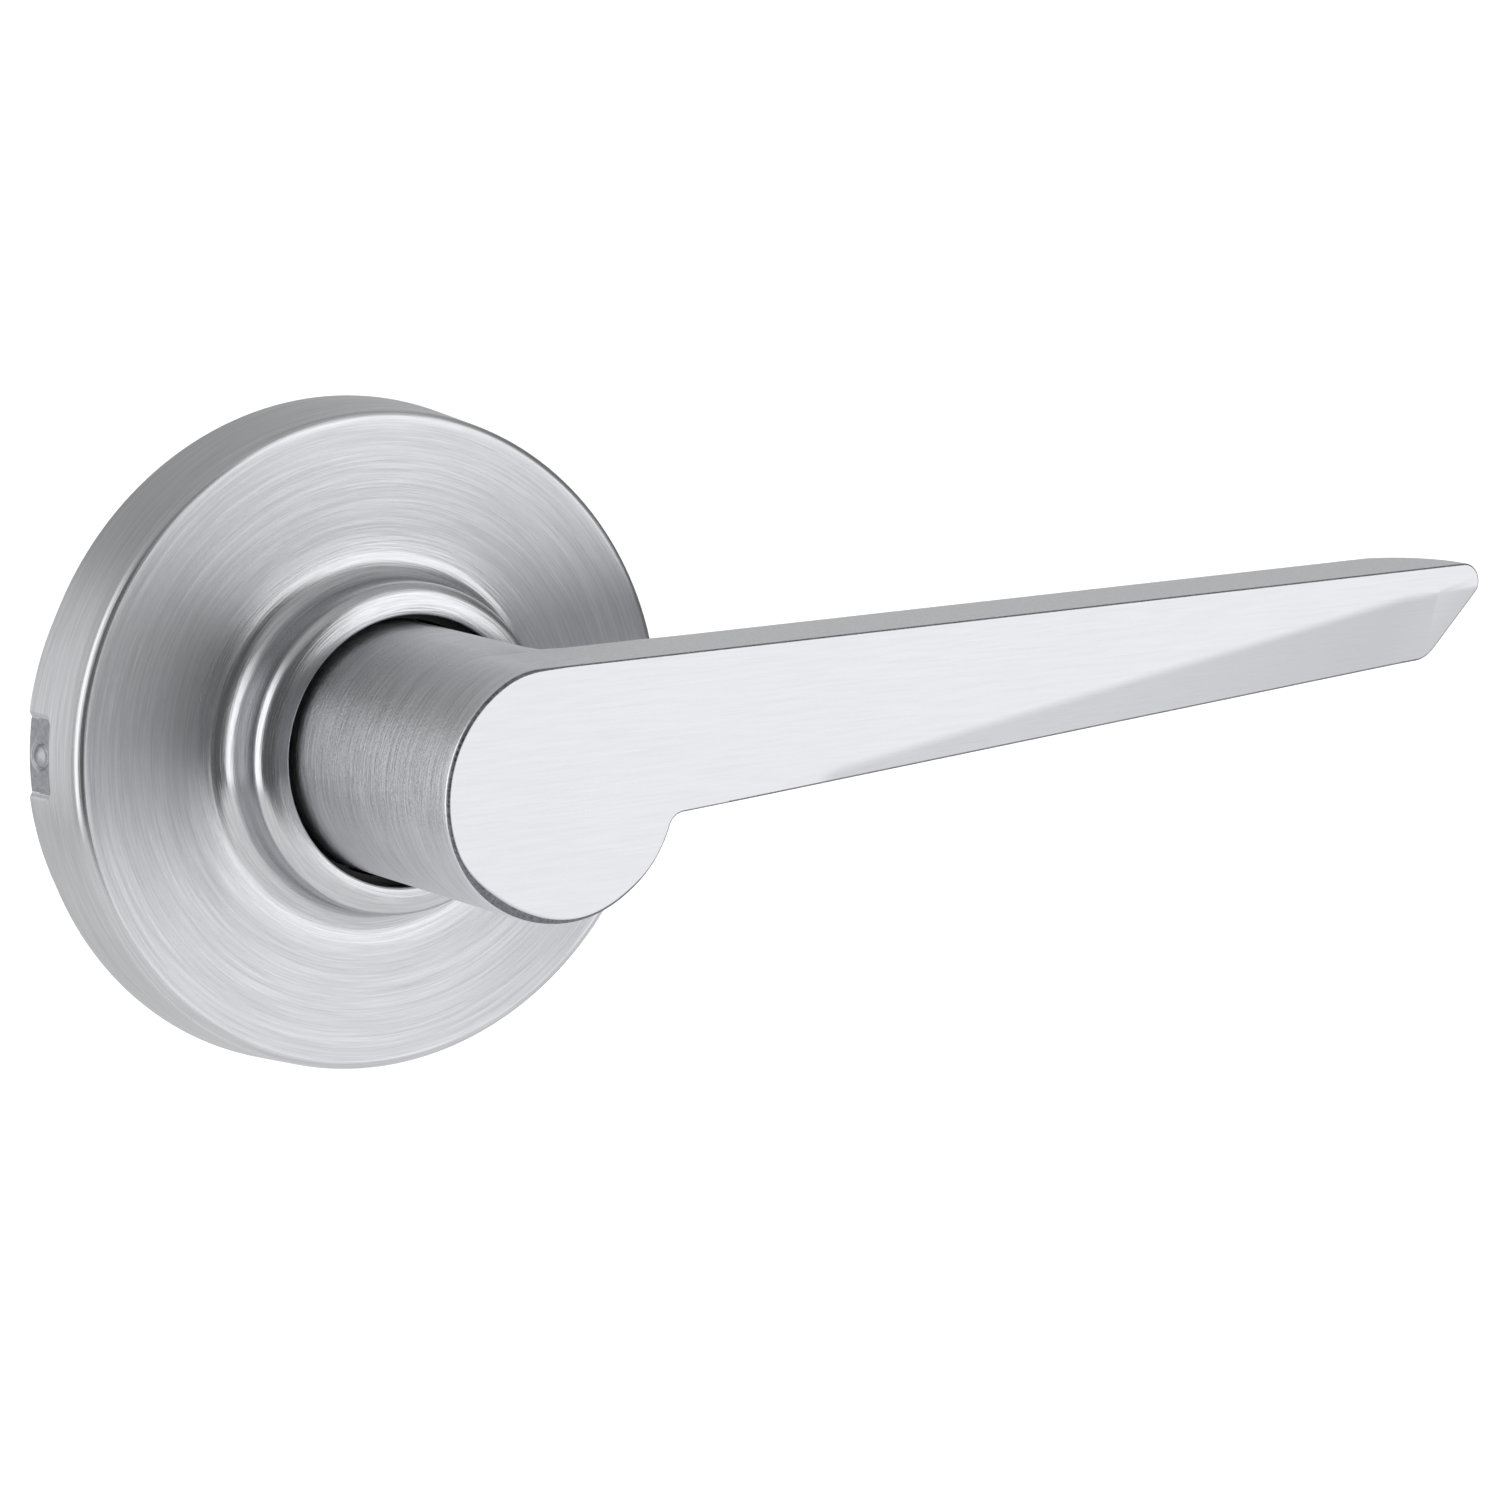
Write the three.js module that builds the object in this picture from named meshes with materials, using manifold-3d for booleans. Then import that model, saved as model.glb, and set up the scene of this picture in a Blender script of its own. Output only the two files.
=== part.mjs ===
// Door lever handle: the side of a lever set that the user sees, ready to bolt to a door.
//
// Frame: millimetres, +Z up. The door face is the plane y = 0 and the user stands at -Y.
// The origin is the centre of the rose's back on the spindle axis, which runs along Y.
// The lever points to +X.
//
// Three groups move as one body each:
//   rose_side   what is fixed to the door: rose, plate, spring housing, bushes, posts, screws
//   handle      what turns with the lever: lever, drive hub, spindle, washers, retaining ring
//   catch       the sprung catch that keeps the lever on the hub

import * as THREE from 'three';
import { mergeVertices, toCreasedNormals } from 'three/addons/utils/BufferGeometryUtils.js';
import Module from 'manifold-3d';

const wasm = await Module();
wasm.setup();

// ---------------------------------------------------------------- driving dimensions

const GAP = 0.3;             // clearance left between pieces that touch
const SHEET = 0.9;           // thickness of the stamped rose

const ROSE_R = 33.5;         // rose at its back edge
const ROSE_DEPTH = 8.9;      // door face to the rose's flat face
const BOSS_DEPTH = 15.6;     // door face to the end of the rose's boss
const BOSS_BORE_R = 13.4;    // hole the neck comes out of

const NECK_R = 12.5;         // round neck of the lever
const REACH = 44.4;          // door face to the front of the lever
const BLADE_THICK = 9.6;     // lever, front to back
const TOP_Z = 12;            // flat top of the lever, above the spindle axis
const TIP_X = 110.5;         // end of the lever
const FACET_TILT = 20;       // degrees that the lower front facet leans back

const HUB_R = 9;             // drive hub
const SPINDLE = 7.94;        // square spindle, 5/16 in
const SPINDLE_BACK = 40;     // how far the spindle reaches into the door
const POST_X = 19;           // half the spacing of the two threaded posts
const POST_BACK = 16;        // how far the posts reach into the door
const TURN = 45;             // degrees that the lever turns each way

// ---------------------------------------------------------------- dimensions that follow

const FACE_Y = -ROSE_DEPTH;
const FRONT_Y = -REACH;
const BLADE_BACK_Y = FRONT_Y + BLADE_THICK;
const BOSS_Y = -BOSS_DEPTH;

const PLATE_THICK = 1.6;
const FLANGE_BACK_Y = -(PLATE_THICK + GAP);
const FLANGE_THICK = 1.4;
const FLANGE_FRONT_Y = FLANGE_BACK_Y - FLANGE_THICK;
const HEAD_BACK_Y = FLANGE_FRONT_Y - GAP;

const CUP_R = 15;            // outside of the spring housing's cup
const CUP_IN_R = 13.3;
const CUP_FRONT_Y = -7.2;
const CUP_FLOOR_Y = -6;
const CUP_LIP_Y = 8;
const COVER_THICK = 1.2;
const COVER_FRONT_Y = 6;

const SLEEVE_R = 15.2;       // sleeve of the housing inside the boss
const SLEEVE_IN_R = 14;
const BUSH_IN_R = NECK_R + GAP;
const BUSH_R = SLEEVE_IN_R - GAP;
const SLEEVE_END_Y = BOSS_Y + SHEET + 2;

const NECK_BACK_Y = CUP_FRONT_Y - 1.5;
const BORE_R = HUB_R + GAP;
const HUB_FRONT_Y = -26.3;
const HUB_BACK_Y = 10;
const HUB_BORE_R = 6.5;      // round bore at the front of the hub, where the catch works
const SQUARE_HOLE = SPINDLE + 2 * GAP;
const SPINDLE_FRONT_Y = -19;
const CATCH_Y = -23;
const CATCH_R = 1.7;
const STOP_HALF = 12;        // half the angle that the hub's stop lug takes up

const SPRING_R = 11.9;       // mean radius of the return spring
const WIRE_R = 0.9;

// ---------------------------------------------------------------- finishes

const finish = (name, color, roughness, metalness = 1) => {
  const m = new THREE.MeshStandardMaterial({ color, roughness, metalness });
  m.name = name;
  return m;
};
const satinChrome = () => finish('satin_chrome', 0xc9c9cb, 0.32);
const zincPlate = () => finish('zinc_plate', 0xb4b7bb, 0.4);
const dieCastZinc = () => finish('die_cast_zinc', 0x9b9da1, 0.5);
const springSteel = () => finish('spring_steel', 0x8d8f94, 0.35);
const nylon = () => finish('nylon', 0x2b2b2d, 0.55, 0);

// ---------------------------------------------------------------- solids

const radians = THREE.MathUtils.degToRad;

// A closed triangle mesh as a Manifold solid.
function solid(geometry) {
  const bare = geometry.clone();
  bare.deleteAttribute('normal');
  bare.deleteAttribute('uv');
  const merged = mergeVertices(bare, 1e-5);
  const index = merged.index.array;
  const tris = [];
  for (let i = 0; i < index.length; i += 3) {
    const [a, b, c] = index.slice(i, i + 3);
    if (a !== b && b !== c && c !== a) tris.push(a, b, c);
  }
  return new wasm.Manifold(new wasm.Mesh({
    numProp: 3,
    vertProperties: new Float32Array(merged.attributes.position.array),
    triVerts: new Uint32Array(tris),
  }));
}

// The same solid as a three.js geometry, with its edges kept crisp.
function geometryOf(manifold) {
  const mesh = manifold.getMesh();
  const g = new THREE.BufferGeometry();
  g.setAttribute('position', new THREE.BufferAttribute(new Float32Array(mesh.vertProperties), 3));
  g.setIndex(new THREE.BufferAttribute(new Uint32Array(mesh.triVerts), 1));
  return toCreasedNormals(g, radians(35));
}

const join = (first, ...others) => others.reduce((all, next) => all.add(next), first);
const cut = (first, ...others) => others.reduce((left, next) => left.subtract(next), first);

// A profile of [radius, y] points turned about the spindle axis. It closes on itself.
function turned(profile, segments = 48) {
  const loop = [...profile, profile[0]].map(([r, y]) => new THREE.Vector2(r, y));
  if (THREE.ShapeUtils.area(loop) < 0) loop.reverse();
  return solid(new THREE.LatheGeometry(loop, segments));
}

const ring = (rIn, rOut, y0, y1, segments) =>
  turned([[rIn, y0], [rOut, y0], [rOut, y1], [rIn, y1]], segments);

// A round bar about the Y axis, between two heights.
function bar(radius, y0, y1, segments = 32) {
  const g = new THREE.CylinderGeometry(radius, radius, Math.abs(y1 - y0), segments);
  g.translate(0, (y0 + y1) / 2, 0);
  return solid(g);
}

function box(x0, x1, y0, y1, z0, z1) {
  const g = new THREE.BoxGeometry(x1 - x0, y1 - y0, z1 - z0);
  g.translate((x0 + x1) / 2, (y0 + y1) / 2, (z0 + z1) / 2);
  return solid(g);
}

// An outline drawn in X and Z, made solid between two values of y.
function prismAlongY(shape, y0, y1) {
  const g = new THREE.ExtrudeGeometry(shape, {
    depth: y1 - y0,
    bevelEnabled: false,
    curveSegments: 10,
  });
  g.rotateX(Math.PI / 2);
  g.translate(0, y1, 0);
  return solid(g);
}

// An outline drawn in X and Y, made solid between two heights.
function prismAlongZ(shape, z0, z1) {
  const g = new THREE.ExtrudeGeometry(shape, {
    depth: z1 - z0,
    bevelEnabled: false,
    curveSegments: 14,
  });
  g.translate(0, 0, z0);
  return solid(g);
}

// A wire along a curve, eight-sided.
function wire(curve, radius, steps) {
  const section = new THREE.Shape();
  section.absarc(0, 0, radius, 0, 2 * Math.PI, false);
  return solid(new THREE.ExtrudeGeometry(section, {
    steps,
    extrudePath: curve,
    bevelEnabled: false,
    curveSegments: 4,
  }));
}

// Points of an arc: centre, radius, and start and end angle in degrees.
function arc(cx, cy, radius, from, to, steps = 6) {
  return Array.from({ length: steps + 1 }, (_, i) => {
    const a = radians(from + (to - from) * i / steps);
    return [cx + radius * Math.cos(a), cy + radius * Math.sin(a)];
  });
}

// ---------------------------------------------------------------- rose side

// Stamped rose: a shallow pan with a rolled edge, a flat face and a raised boss round the neck.
function roseCover() {
  const edgeR = 0.9;          // rounding between the rim and the face
  const draft = 0.7;          // how much the rim narrows towards the face
  const bossR = 16.5;         // straight part of the boss
  const rootR = 2.5;          // hollow curve from the face up to the boss
  const noseR = 1.5;          // rounding at the end of the boss
  const rimR = ROSE_R - draft;
  const outside = [
    [ROSE_R, 0],
    ...arc(rimR - edgeR, FACE_Y + edgeR, edgeR, 0, -90, 3),
    ...arc(bossR + rootR, FACE_Y - rootR, rootR, 90, 180, 4),
    ...arc(bossR - noseR, BOSS_Y + 0.6 + noseR, noseR, 0, -90, 3),
    [BOSS_BORE_R, BOSS_Y],
  ];
  const inside = [
    [BOSS_BORE_R, BOSS_Y + SHEET],
    [bossR - SHEET, BOSS_Y + SHEET + 1.4],
    ...arc(bossR + rootR, FACE_Y - rootR, rootR + SHEET, 180, 90, 3),
    [rimR - SHEET - 0.3, FACE_Y + SHEET],
    [rimR - SHEET, FACE_Y + SHEET + 0.3],
    [ROSE_R - SHEET, 0],
  ];
  const shell = turned([...outside, ...inside], 64);
  const flares = [-1, 1].map(roseFlare);
  const notches = [-1, 1].map(roseNotch);
  return cut(join(shell, ...flares), ...notches);
}

const NOTCH_TURN = 2.1;       // the rose sits turned a little, so the recesses are not level

// Gentle outward flare of the rim that carries the prise-off recess, on one side of the rose.
function roseFlare(side) {
  const flareR = 30;
  const out = ROSE_R + 0.35 - flareR;
  const lip = [[flareR - 0.7, 0], [flareR, 0], [flareR - 0.95, -7.5], [flareR - 1.1, -7.5]];
  const x = [side * 25, side * 40].sort((a, b) => a - b);
  return turned(lip, 64)
    .translate([side * out, 0, 0])
    .intersect(box(x[0], x[1], -8, 1, -13.2, 13.2))
    .rotate([0, NOTCH_TURN, 0]);
}

// Shallow recess in the flare where the rose is prised off, on one side of the rose.
function roseNotch(side) {
  const halfHeight = 4.1;
  const width = 3.6;
  const depth = 0.3;
  const near = ROSE_R + 0.35 - depth;
  const x = [side * near, side * (ROSE_R + 1)].sort((a, b) => a - b);
  return box(x[0], x[1], -width, 1, -halfHeight, halfHeight).rotate([0, NOTCH_TURN, 0]);
}

// Steel plate that lies on the door, pierced for the cup, the posts and the screws.
function mountingPlate() {
  const plate = ring(CUP_R + GAP, ROSE_R - SHEET - 0.4, -PLATE_THICK, 0, 56);
  return cut(plate, ...fixingHoles(-PLATE_THICK - 1, 1));
}

const SCREW_R = 1.3;
const SCREW_RING_R = 26.5;
const SCREW_ANGLES = [45, 135, 225, 315];
const POST_STEM_R = 2.2;

// Clearance holes for the two posts and the four screws.
function fixingHoles(y0, y1) {
  const posts = [-POST_X, POST_X].map((x) => bar(POST_STEM_R + GAP, y0, y1, 16).translate([x, 0, 0]));
  const screws = SCREW_ANGLES.map((a) => bar(SCREW_R + GAP, y0, y1, 12).translate(onRing(a)));
  return [...posts, ...screws];
}

const onRing = (degrees) => [
  SCREW_RING_R * Math.cos(radians(degrees)),
  0,
  SCREW_RING_R * Math.sin(radians(degrees)),
];

// Die-cast housing: a flange on the plate, a cup for the spring and a sleeve inside the boss.
function springHousing() {
  const flangeR = 30.5;
  const body = turned([
    [CUP_R, CUP_LIP_Y],
    [CUP_R, FLANGE_BACK_Y],
    [flangeR, FLANGE_BACK_Y],
    [flangeR, FLANGE_FRONT_Y],
    [SLEEVE_R, FLANGE_FRONT_Y],
    [SLEEVE_R, SLEEVE_END_Y],
    [SLEEVE_IN_R, SLEEVE_END_Y],
    [SLEEVE_IN_R, CUP_FRONT_Y],
    [HUB_R + GAP, CUP_FRONT_Y],
    [HUB_R + GAP, CUP_FLOOR_Y],
    [CUP_IN_R, CUP_FLOOR_Y],
    [CUP_IN_R, COVER_FRONT_Y - GAP],
    [CUP_R - 0.8, COVER_FRONT_Y - GAP],
    [CUP_R - 0.8, COVER_FRONT_Y + COVER_THICK + GAP],
    [CUP_IN_R, CUP_LIP_Y],
  ], 48);
  const legSlot = box(-1.4, 3.6, FRONT_COIL_Y - WIRE_R - GAP, FRONT_COIL_Y + WIRE_R + GAP,
    CUP_IN_R - 2, CUP_R + 3);
  return cut(body, legSlot, ...fixingHoles(-12, FLANGE_BACK_Y + 1));
}

// Disc that closes the back of the cup. Its window stops the hub's lug at each end of the turn.
function housingCover() {
  const disc = ring(HUB_R + GAP, CUP_R - 0.8 - GAP, COVER_FRONT_Y, COVER_FRONT_Y + COVER_THICK);
  const half = STOP_HALF + TURN + 2;
  const window = sector(STOP_R + GAP, 270 - half, 270 + half);
  return cut(disc, prismAlongY(window, COVER_FRONT_Y - 1, COVER_FRONT_Y + COVER_THICK + 1));
}

const STOP_R = 11.8;         // reach of the hub's stop lug

// Pie slice in X and Z, with its point on the spindle axis.
function sector(radius, from, to) {
  const shape = new THREE.Shape();
  shape.moveTo(0, 0);
  shape.absarc(0, 0, radius, radians(from), radians(to), false);
  shape.lineTo(0, 0);
  return shape;
}

const FRONT_COIL_Y = CUP_FLOOR_Y + GAP + WIRE_R;
const COIL_TURNS = 4.5;
const COIL_PITCH = 2 * WIRE_R + 0.3;
const BACK_COIL_Y = FRONT_COIL_Y + COIL_TURNS * COIL_PITCH;

// Torsion spring: its front leg hooks outwards into the housing, its back leg inwards into the hub.
class ReturnSpringPath extends THREE.Curve {
  getPoint(t, target = new THREE.Vector3()) {
    const bend = 0.035;
    const coil = THREE.MathUtils.clamp((t - bend) / (1 - 2 * bend), 0, 1);
    const outward = THREE.MathUtils.clamp(1 - t / bend, 0, 1);
    const inward = THREE.MathUtils.clamp(1 - (1 - t) / bend, 0, 1);
    const r = SPRING_R + 3.6 * outward - 3.4 * inward;
    const lean = 1.5 / SPRING_R;
    const a = Math.PI / 2 + coil * COIL_TURNS * 2 * Math.PI - lean * outward + lean * inward;
    const y = FRONT_COIL_Y + coil * (BACK_COIL_Y - FRONT_COIL_Y);
    return target.set(r * Math.cos(a), y, r * Math.sin(a));
  }
}

// Threaded post: a thick shank behind the plate, a stem through it and a riveted head in front.
function post() {
  const shankR = 3.5;
  const headR = 3.4;
  const threadR = 2.1;
  const headFront = HEAD_BACK_Y - 1.2;
  return turned([
    [0, headFront],
    [headR - 0.4, headFront],
    [headR, headFront + 0.4],
    [headR, HEAD_BACK_Y],
    [POST_STEM_R, HEAD_BACK_Y],
    [POST_STEM_R, GAP],
    [shankR, GAP],
    [shankR, POST_BACK - 0.4],
    [shankR - 0.4, POST_BACK],
    [threadR, POST_BACK],
    [threadR, 3],
    [0, 3],
  ], 18);
}

// Pan-head screw with a cross recess.
function housingScrew() {
  const headR = 2.4;
  const headFront = HEAD_BACK_Y - 1.7;
  const body = turned([
    [0, headFront],
    [headR - 0.6, headFront],
    [headR, headFront + 0.6],
    [headR, HEAD_BACK_Y],
    [SCREW_R, HEAD_BACK_Y],
    [SCREW_R, -0.5],
    [SCREW_R - 0.3, -0.2],
    [0, -0.2],
  ], 14);
  const slots = [0, 90].map((a) =>
    box(-1.4, 1.4, headFront - 1, headFront + 0.9, -0.28, 0.28).rotate([0, a, 0]));
  return cut(body, ...slots);
}

// ---------------------------------------------------------------- handle

// Turning lever: a round neck that runs straight into a flat bar with a faceted lower front edge.
function lever() {
  const edge = 0.5;
  const neck = turned([
    [BORE_R, NECK_BACK_Y],
    [NECK_R - 0.3, NECK_BACK_Y],
    [NECK_R, NECK_BACK_Y - 0.3],
    [NECK_R, FRONT_Y + edge],
    ...arc(NECK_R - edge, FRONT_Y + edge, edge, -30, -90, 2),
    [0, FRONT_Y],
    [0, FRONT_Y + 7],
    [6.5, FRONT_Y + 8],
    [7.5, HUB_FRONT_Y - GAP],
    [BORE_R, HUB_FRONT_Y - GAP],
  ], 64);
  const blade = prismAlongY(bladeFront(), FRONT_Y, BLADE_BACK_Y + NECK_FILLET)
    .intersect(prismAlongZ(bladePlan(), -20, 20));
  const core = bar(8, HUB_FRONT_Y + 2, FRONT_Y + 8, 48);
  const releaseHole = solid(new THREE.CylinderGeometry(2, 2, 8, 20))
    .rotate([90, 0, 0]).translate([0, CATCH_Y, -NECK_R]);
  return join(neck, cut(blade, core)).subtract(facetCutter()).subtract(releaseHole);
}

const NECK_FILLET = 7.5;     // hollow curve from the neck to the back of the bar
const TIP_CUT = 33.4;        // degrees that the end of the bar leans from upright
const BOTTOM_RISE = 3.26;    // degrees that the lower edge rises towards the tip
const BOTTOM_Z = -4;         // height of the lower edge, carried on to the spindle axis
const DISC_FILLET = 3;       // hollow curve between the round front and the lower edge

// Outline of the bar from the front, in X and Z.
function bladeFront() {
  const tipR = 2;
  const rise = Math.tan(radians(BOTTOM_RISE));
  const lean = Math.tan(radians(TIP_CUT));
  const bottomAt = (x) => BOTTOM_Z + rise * x;
  const cornerTop = new THREE.Vector2(TIP_X + 1.6, TOP_Z);
  const lowX = (cornerTop.x - lean * (TOP_Z - BOTTOM_Z)) / (1 - lean * rise);
  const cornerLow = new THREE.Vector2(lowX, bottomAt(lowX));
  const start = new THREE.Vector2(2, bottomAt(2));
  const end = new THREE.Vector2(2, TOP_Z);
  const points = [
    start,
    ...discFillet(rise),
    ...rounded(new THREE.Vector2(40, bottomAt(40)), cornerLow, cornerTop, tipR),
    ...rounded(cornerLow, cornerTop, end, tipR),
    end,
  ];
  return new THREE.Shape(points);
}

// Hollow curve that meets the round front of the neck and the straight lower edge.
function discFillet(rise) {
  const discR = NECK_R - 0.5;
  const f = DISC_FILLET;
  const slope = Math.atan(rise);
  // the centre lies f below the edge and f outside the disc
  const drop = f / Math.cos(slope) - BOTTOM_Z;
  const reach = (discR + f) ** 2;
  const a = 1 + rise ** 2;
  const b = -2 * rise * drop;
  const c = drop ** 2 - reach;
  const x = (-b + Math.sqrt(b * b - 4 * a * c)) / (2 * a);
  const z = rise * x - drop;
  const toDisc = THREE.MathUtils.radToDeg(Math.atan2(-z, -x));
  const toEdge = THREE.MathUtils.radToDeg(slope) + 90;
  return [
    new THREE.Vector2(discR * 0.8 * x / (discR + f), discR * 0.8 * z / (discR + f)),
    ...arc(x, z, f, toDisc, toEdge, 6).map(([u, v]) => new THREE.Vector2(u, v)),
  ];
}

// The arc that rounds the corner at b, between the lines from a and to c.
function rounded(a, b, c, radius, steps = 6) {
  const back = a.clone().sub(b).normalize();
  const on = c.clone().sub(b).normalize();
  const half = Math.acos(back.dot(on)) / 2;
  const centre = back.clone().add(on).normalize().multiplyScalar(radius / Math.sin(half)).add(b);
  const first = b.clone().addScaledVector(back, radius / Math.tan(half)).sub(centre).angle();
  const last = b.clone().addScaledVector(on, radius / Math.tan(half)).sub(centre).angle();
  const sweep = THREE.MathUtils.euclideanModulo(last - first + Math.PI, 2 * Math.PI) - Math.PI;
  return Array.from({ length: steps + 1 }, (_, i) => {
    const angle = first + sweep * i / steps;
    return new THREE.Vector2(Math.cos(angle), Math.sin(angle)).multiplyScalar(radius).add(centre);
  });
}

// Outline of the bar from above, in X and Y: flat front and back, rounded at the tip's back.
function bladePlan() {
  const backR = 8;
  const tipX = 103 + backR;
  const f = NECK_FILLET;
  const shape = new THREE.Shape();
  shape.moveTo(1, FRONT_Y);
  shape.lineTo(tipX, FRONT_Y);
  shape.lineTo(tipX, BLADE_BACK_Y - backR);
  shape.absarc(tipX - backR, BLADE_BACK_Y - backR, backR, 0, Math.PI / 2, false);
  shape.lineTo(NECK_R + f, BLADE_BACK_Y);
  shape.absarc(NECK_R + f, BLADE_BACK_Y + f, f, 1.5 * Math.PI, Math.PI, true);
  shape.lineTo(1, BLADE_BACK_Y + f);
  return shape;
}

// The block removed in front of the lower facet. It pivots on the crease.
function facetCutter() {
  const creaseX = 18.6;
  const creaseZ = -2.9;
  const creaseRise = 8.3;
  const g = new THREE.BoxGeometry(140, 20, 30);
  g.translate(40, -10, -15);
  g.rotateX(radians(FACET_TILT));
  g.rotateY(radians(-creaseRise));
  g.translate(creaseX, FRONT_Y, creaseZ);
  const keep = box(NECK_R + 0.5, 200, FRONT_Y - 30, FRONT_Y + 30, -40, 40);
  return solid(g).intersect(keep);
}

// Drive hub: carries the lever at the front and turns the square spindle.
function driveHub() {
  const collarR = 10.6;
  const collarFront = CUP_FLOOR_Y + 1.5;
  const ringFront = COVER_FRONT_Y + COVER_THICK + GAP;
  const grooveR = HUB_R - 1;
  const outside = turned([
    [0, HUB_BACK_Y],
    [HUB_R - 0.5, HUB_BACK_Y],
    [HUB_R, HUB_BACK_Y - 0.5],
    [HUB_R, ringFront + RING_THICK + 2 * GAP],
    [grooveR, ringFront + RING_THICK + 2 * GAP],
    [grooveR, ringFront],
    [HUB_R, ringFront],
    [HUB_R, collarFront + 1.4],
    [collarR, collarFront + 1.4],
    [collarR, collarFront],
    [HUB_R, collarFront],
    [HUB_R, HUB_FRONT_Y + 0.5],
    [HUB_R - 0.5, HUB_FRONT_Y],
    [0, HUB_FRONT_Y],
  ], 40);
  const lugShape = sector(STOP_R, 270 - STOP_HALF, 270 + STOP_HALF);
  const lug = prismAlongY(lugShape, COVER_FRONT_Y, COVER_FRONT_Y + COVER_THICK - GAP);
  const half = SQUARE_HOLE / 2;
  const square = box(-half, half, SPINDLE_FRONT_Y - GAP, HUB_BACK_Y + 1, -half, half);
  const bore = bar(HUB_BORE_R, HUB_FRONT_Y - 1, SPINDLE_FRONT_Y - GAP + 0.01, 36);
  const catchHole = bar(CATCH_R + GAP, -12, -3, 20).rotate([90, 0, 0]).translate([0, CATCH_Y, 0]);
  const pinHole = bar(PIN_R + GAP, -12, 12, 20).rotate([90, 0, 0]).translate([0, PIN_Y, 0]);
  const legSlot = box(-1.4, 2.8, BACK_COIL_Y - 1.3, BACK_COIL_Y + 1.3, -9.5, -7.1);
  return cut(join(outside, lug), square, bore, catchHole, pinHole, legSlot);
}

const RING_THICK = 1;
const PIN_R = 1.2;
const PIN_Y = -13;

// Cross pin through the hub and the spindle.
const spindlePin = () => bar(PIN_R, -8.6, 8.6, 20).rotate([90, 0, 0]).translate([0, PIN_Y, 0]);

// Square spindle with chamfered ends and the cross hole for its pin.
function spindle() {
  const half = SPINDLE / 2;
  const outline = (h) => new THREE.Shape([
    new THREE.Vector2(-h, -h),
    new THREE.Vector2(h, -h),
    new THREE.Vector2(h, h),
    new THREE.Vector2(-h, h),
  ]);
  const body = prismAlongY(outline(half), SPINDLE_FRONT_Y, SPINDLE_BACK);
  const point = turned([
    [0, SPINDLE_FRONT_Y - 1],
    [20, SPINDLE_FRONT_Y - 1],
    [20, SPINDLE_BACK - 15],
    [5.6, SPINDLE_BACK - 0.8],
    [4.6, SPINDLE_BACK],
    [0, SPINDLE_BACK],
  ], 40);
  const pinHole = bar(PIN_R + GAP, -12, 12, 20).rotate([90, 0, 0]).translate([0, PIN_Y, 0]);
  return cut(body.intersect(point), pinHole);
}

// Open retaining ring in the hub's back groove, with its mouth at the top.
function retainingRing() {
  const front = COVER_FRONT_Y + COVER_THICK + 2 * GAP;
  const full = ring(HUB_R - 1 + GAP, 11, front, front + RING_THICK, 36);
  const mouth = prismAlongY(sector(15, 70, 110), front - 1, front + RING_THICK + 1);
  return full.subtract(mouth);
}

// Flat spring ring pressed into three waves.
function waveWasher() {
  const rIn = HUB_R + GAP;
  const rOut = 10.7;
  const waves = 3;
  const height = 0.2;
  const thick = 0.3;
  const mid = CUP_FLOOR_Y + GAP + height + thick / 2;
  const flat = new THREE.LatheGeometry([
    new THREE.Vector2(rIn, -thick / 2),
    new THREE.Vector2(rOut, -thick / 2),
    new THREE.Vector2(rOut, thick / 2),
    new THREE.Vector2(rIn, thick / 2),
    new THREE.Vector2(rIn, -thick / 2),
  ], 48);
  const p = flat.attributes.position;
  for (let i = 0; i < p.count; i += 1) {
    const a = Math.atan2(p.getZ(i), p.getX(i));
    p.setY(i, p.getY(i) + mid + height * Math.cos(waves * a));
  }
  return solid(flat);
}

// ---------------------------------------------------------------- catch

const CATCH_HEAD_Z = -5.5;   // outer side of the catch's head, inside the hub
const CATCH_TIP_Z = -11.6;   // end of the catch in the lever's release hole
const CATCH_HEAD_THICK = 1.2;

// Headed pin that points down through the hub into the lever.
function leverCatch() {
  const g = new THREE.LatheGeometry([
    new THREE.Vector2(0, CATCH_TIP_Z),
    new THREE.Vector2(CATCH_R - 0.4, CATCH_TIP_Z),
    new THREE.Vector2(CATCH_R, CATCH_TIP_Z + 0.4),
    new THREE.Vector2(CATCH_R, CATCH_HEAD_Z),
    new THREE.Vector2(2.8, CATCH_HEAD_Z),
    new THREE.Vector2(2.8, CATCH_HEAD_Z + CATCH_HEAD_THICK),
    new THREE.Vector2(0, CATCH_HEAD_Z + CATCH_HEAD_THICK),
  ], 24);
  g.rotateX(Math.PI / 2);
  g.translate(0, CATCH_Y, 0);
  return solid(g);
}

// Compression spring between the catch's head and the far side of the hub's bore.
class CatchSpringPath extends THREE.Curve {
  getPoint(t, target = new THREE.Vector3()) {
    const coilR = 1.6;
    const low = CATCH_HEAD_Z + CATCH_HEAD_THICK + GAP + 0.3;
    const high = HUB_BORE_R - 1.2;
    const a = t * 5 * 2 * Math.PI;
    return target.set(coilR * Math.cos(a), CATCH_Y + coilR * Math.sin(a), low + t * (high - low));
  }
}

// ---------------------------------------------------------------- assembly

const model = new THREE.Group();
model.name = 'door_lever_handle';

function add(body, name, manifold, material) {
  const mesh = new THREE.Mesh(geometryOf(manifold), material);
  mesh.name = name;
  body.add(mesh);
  return mesh;
}

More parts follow.
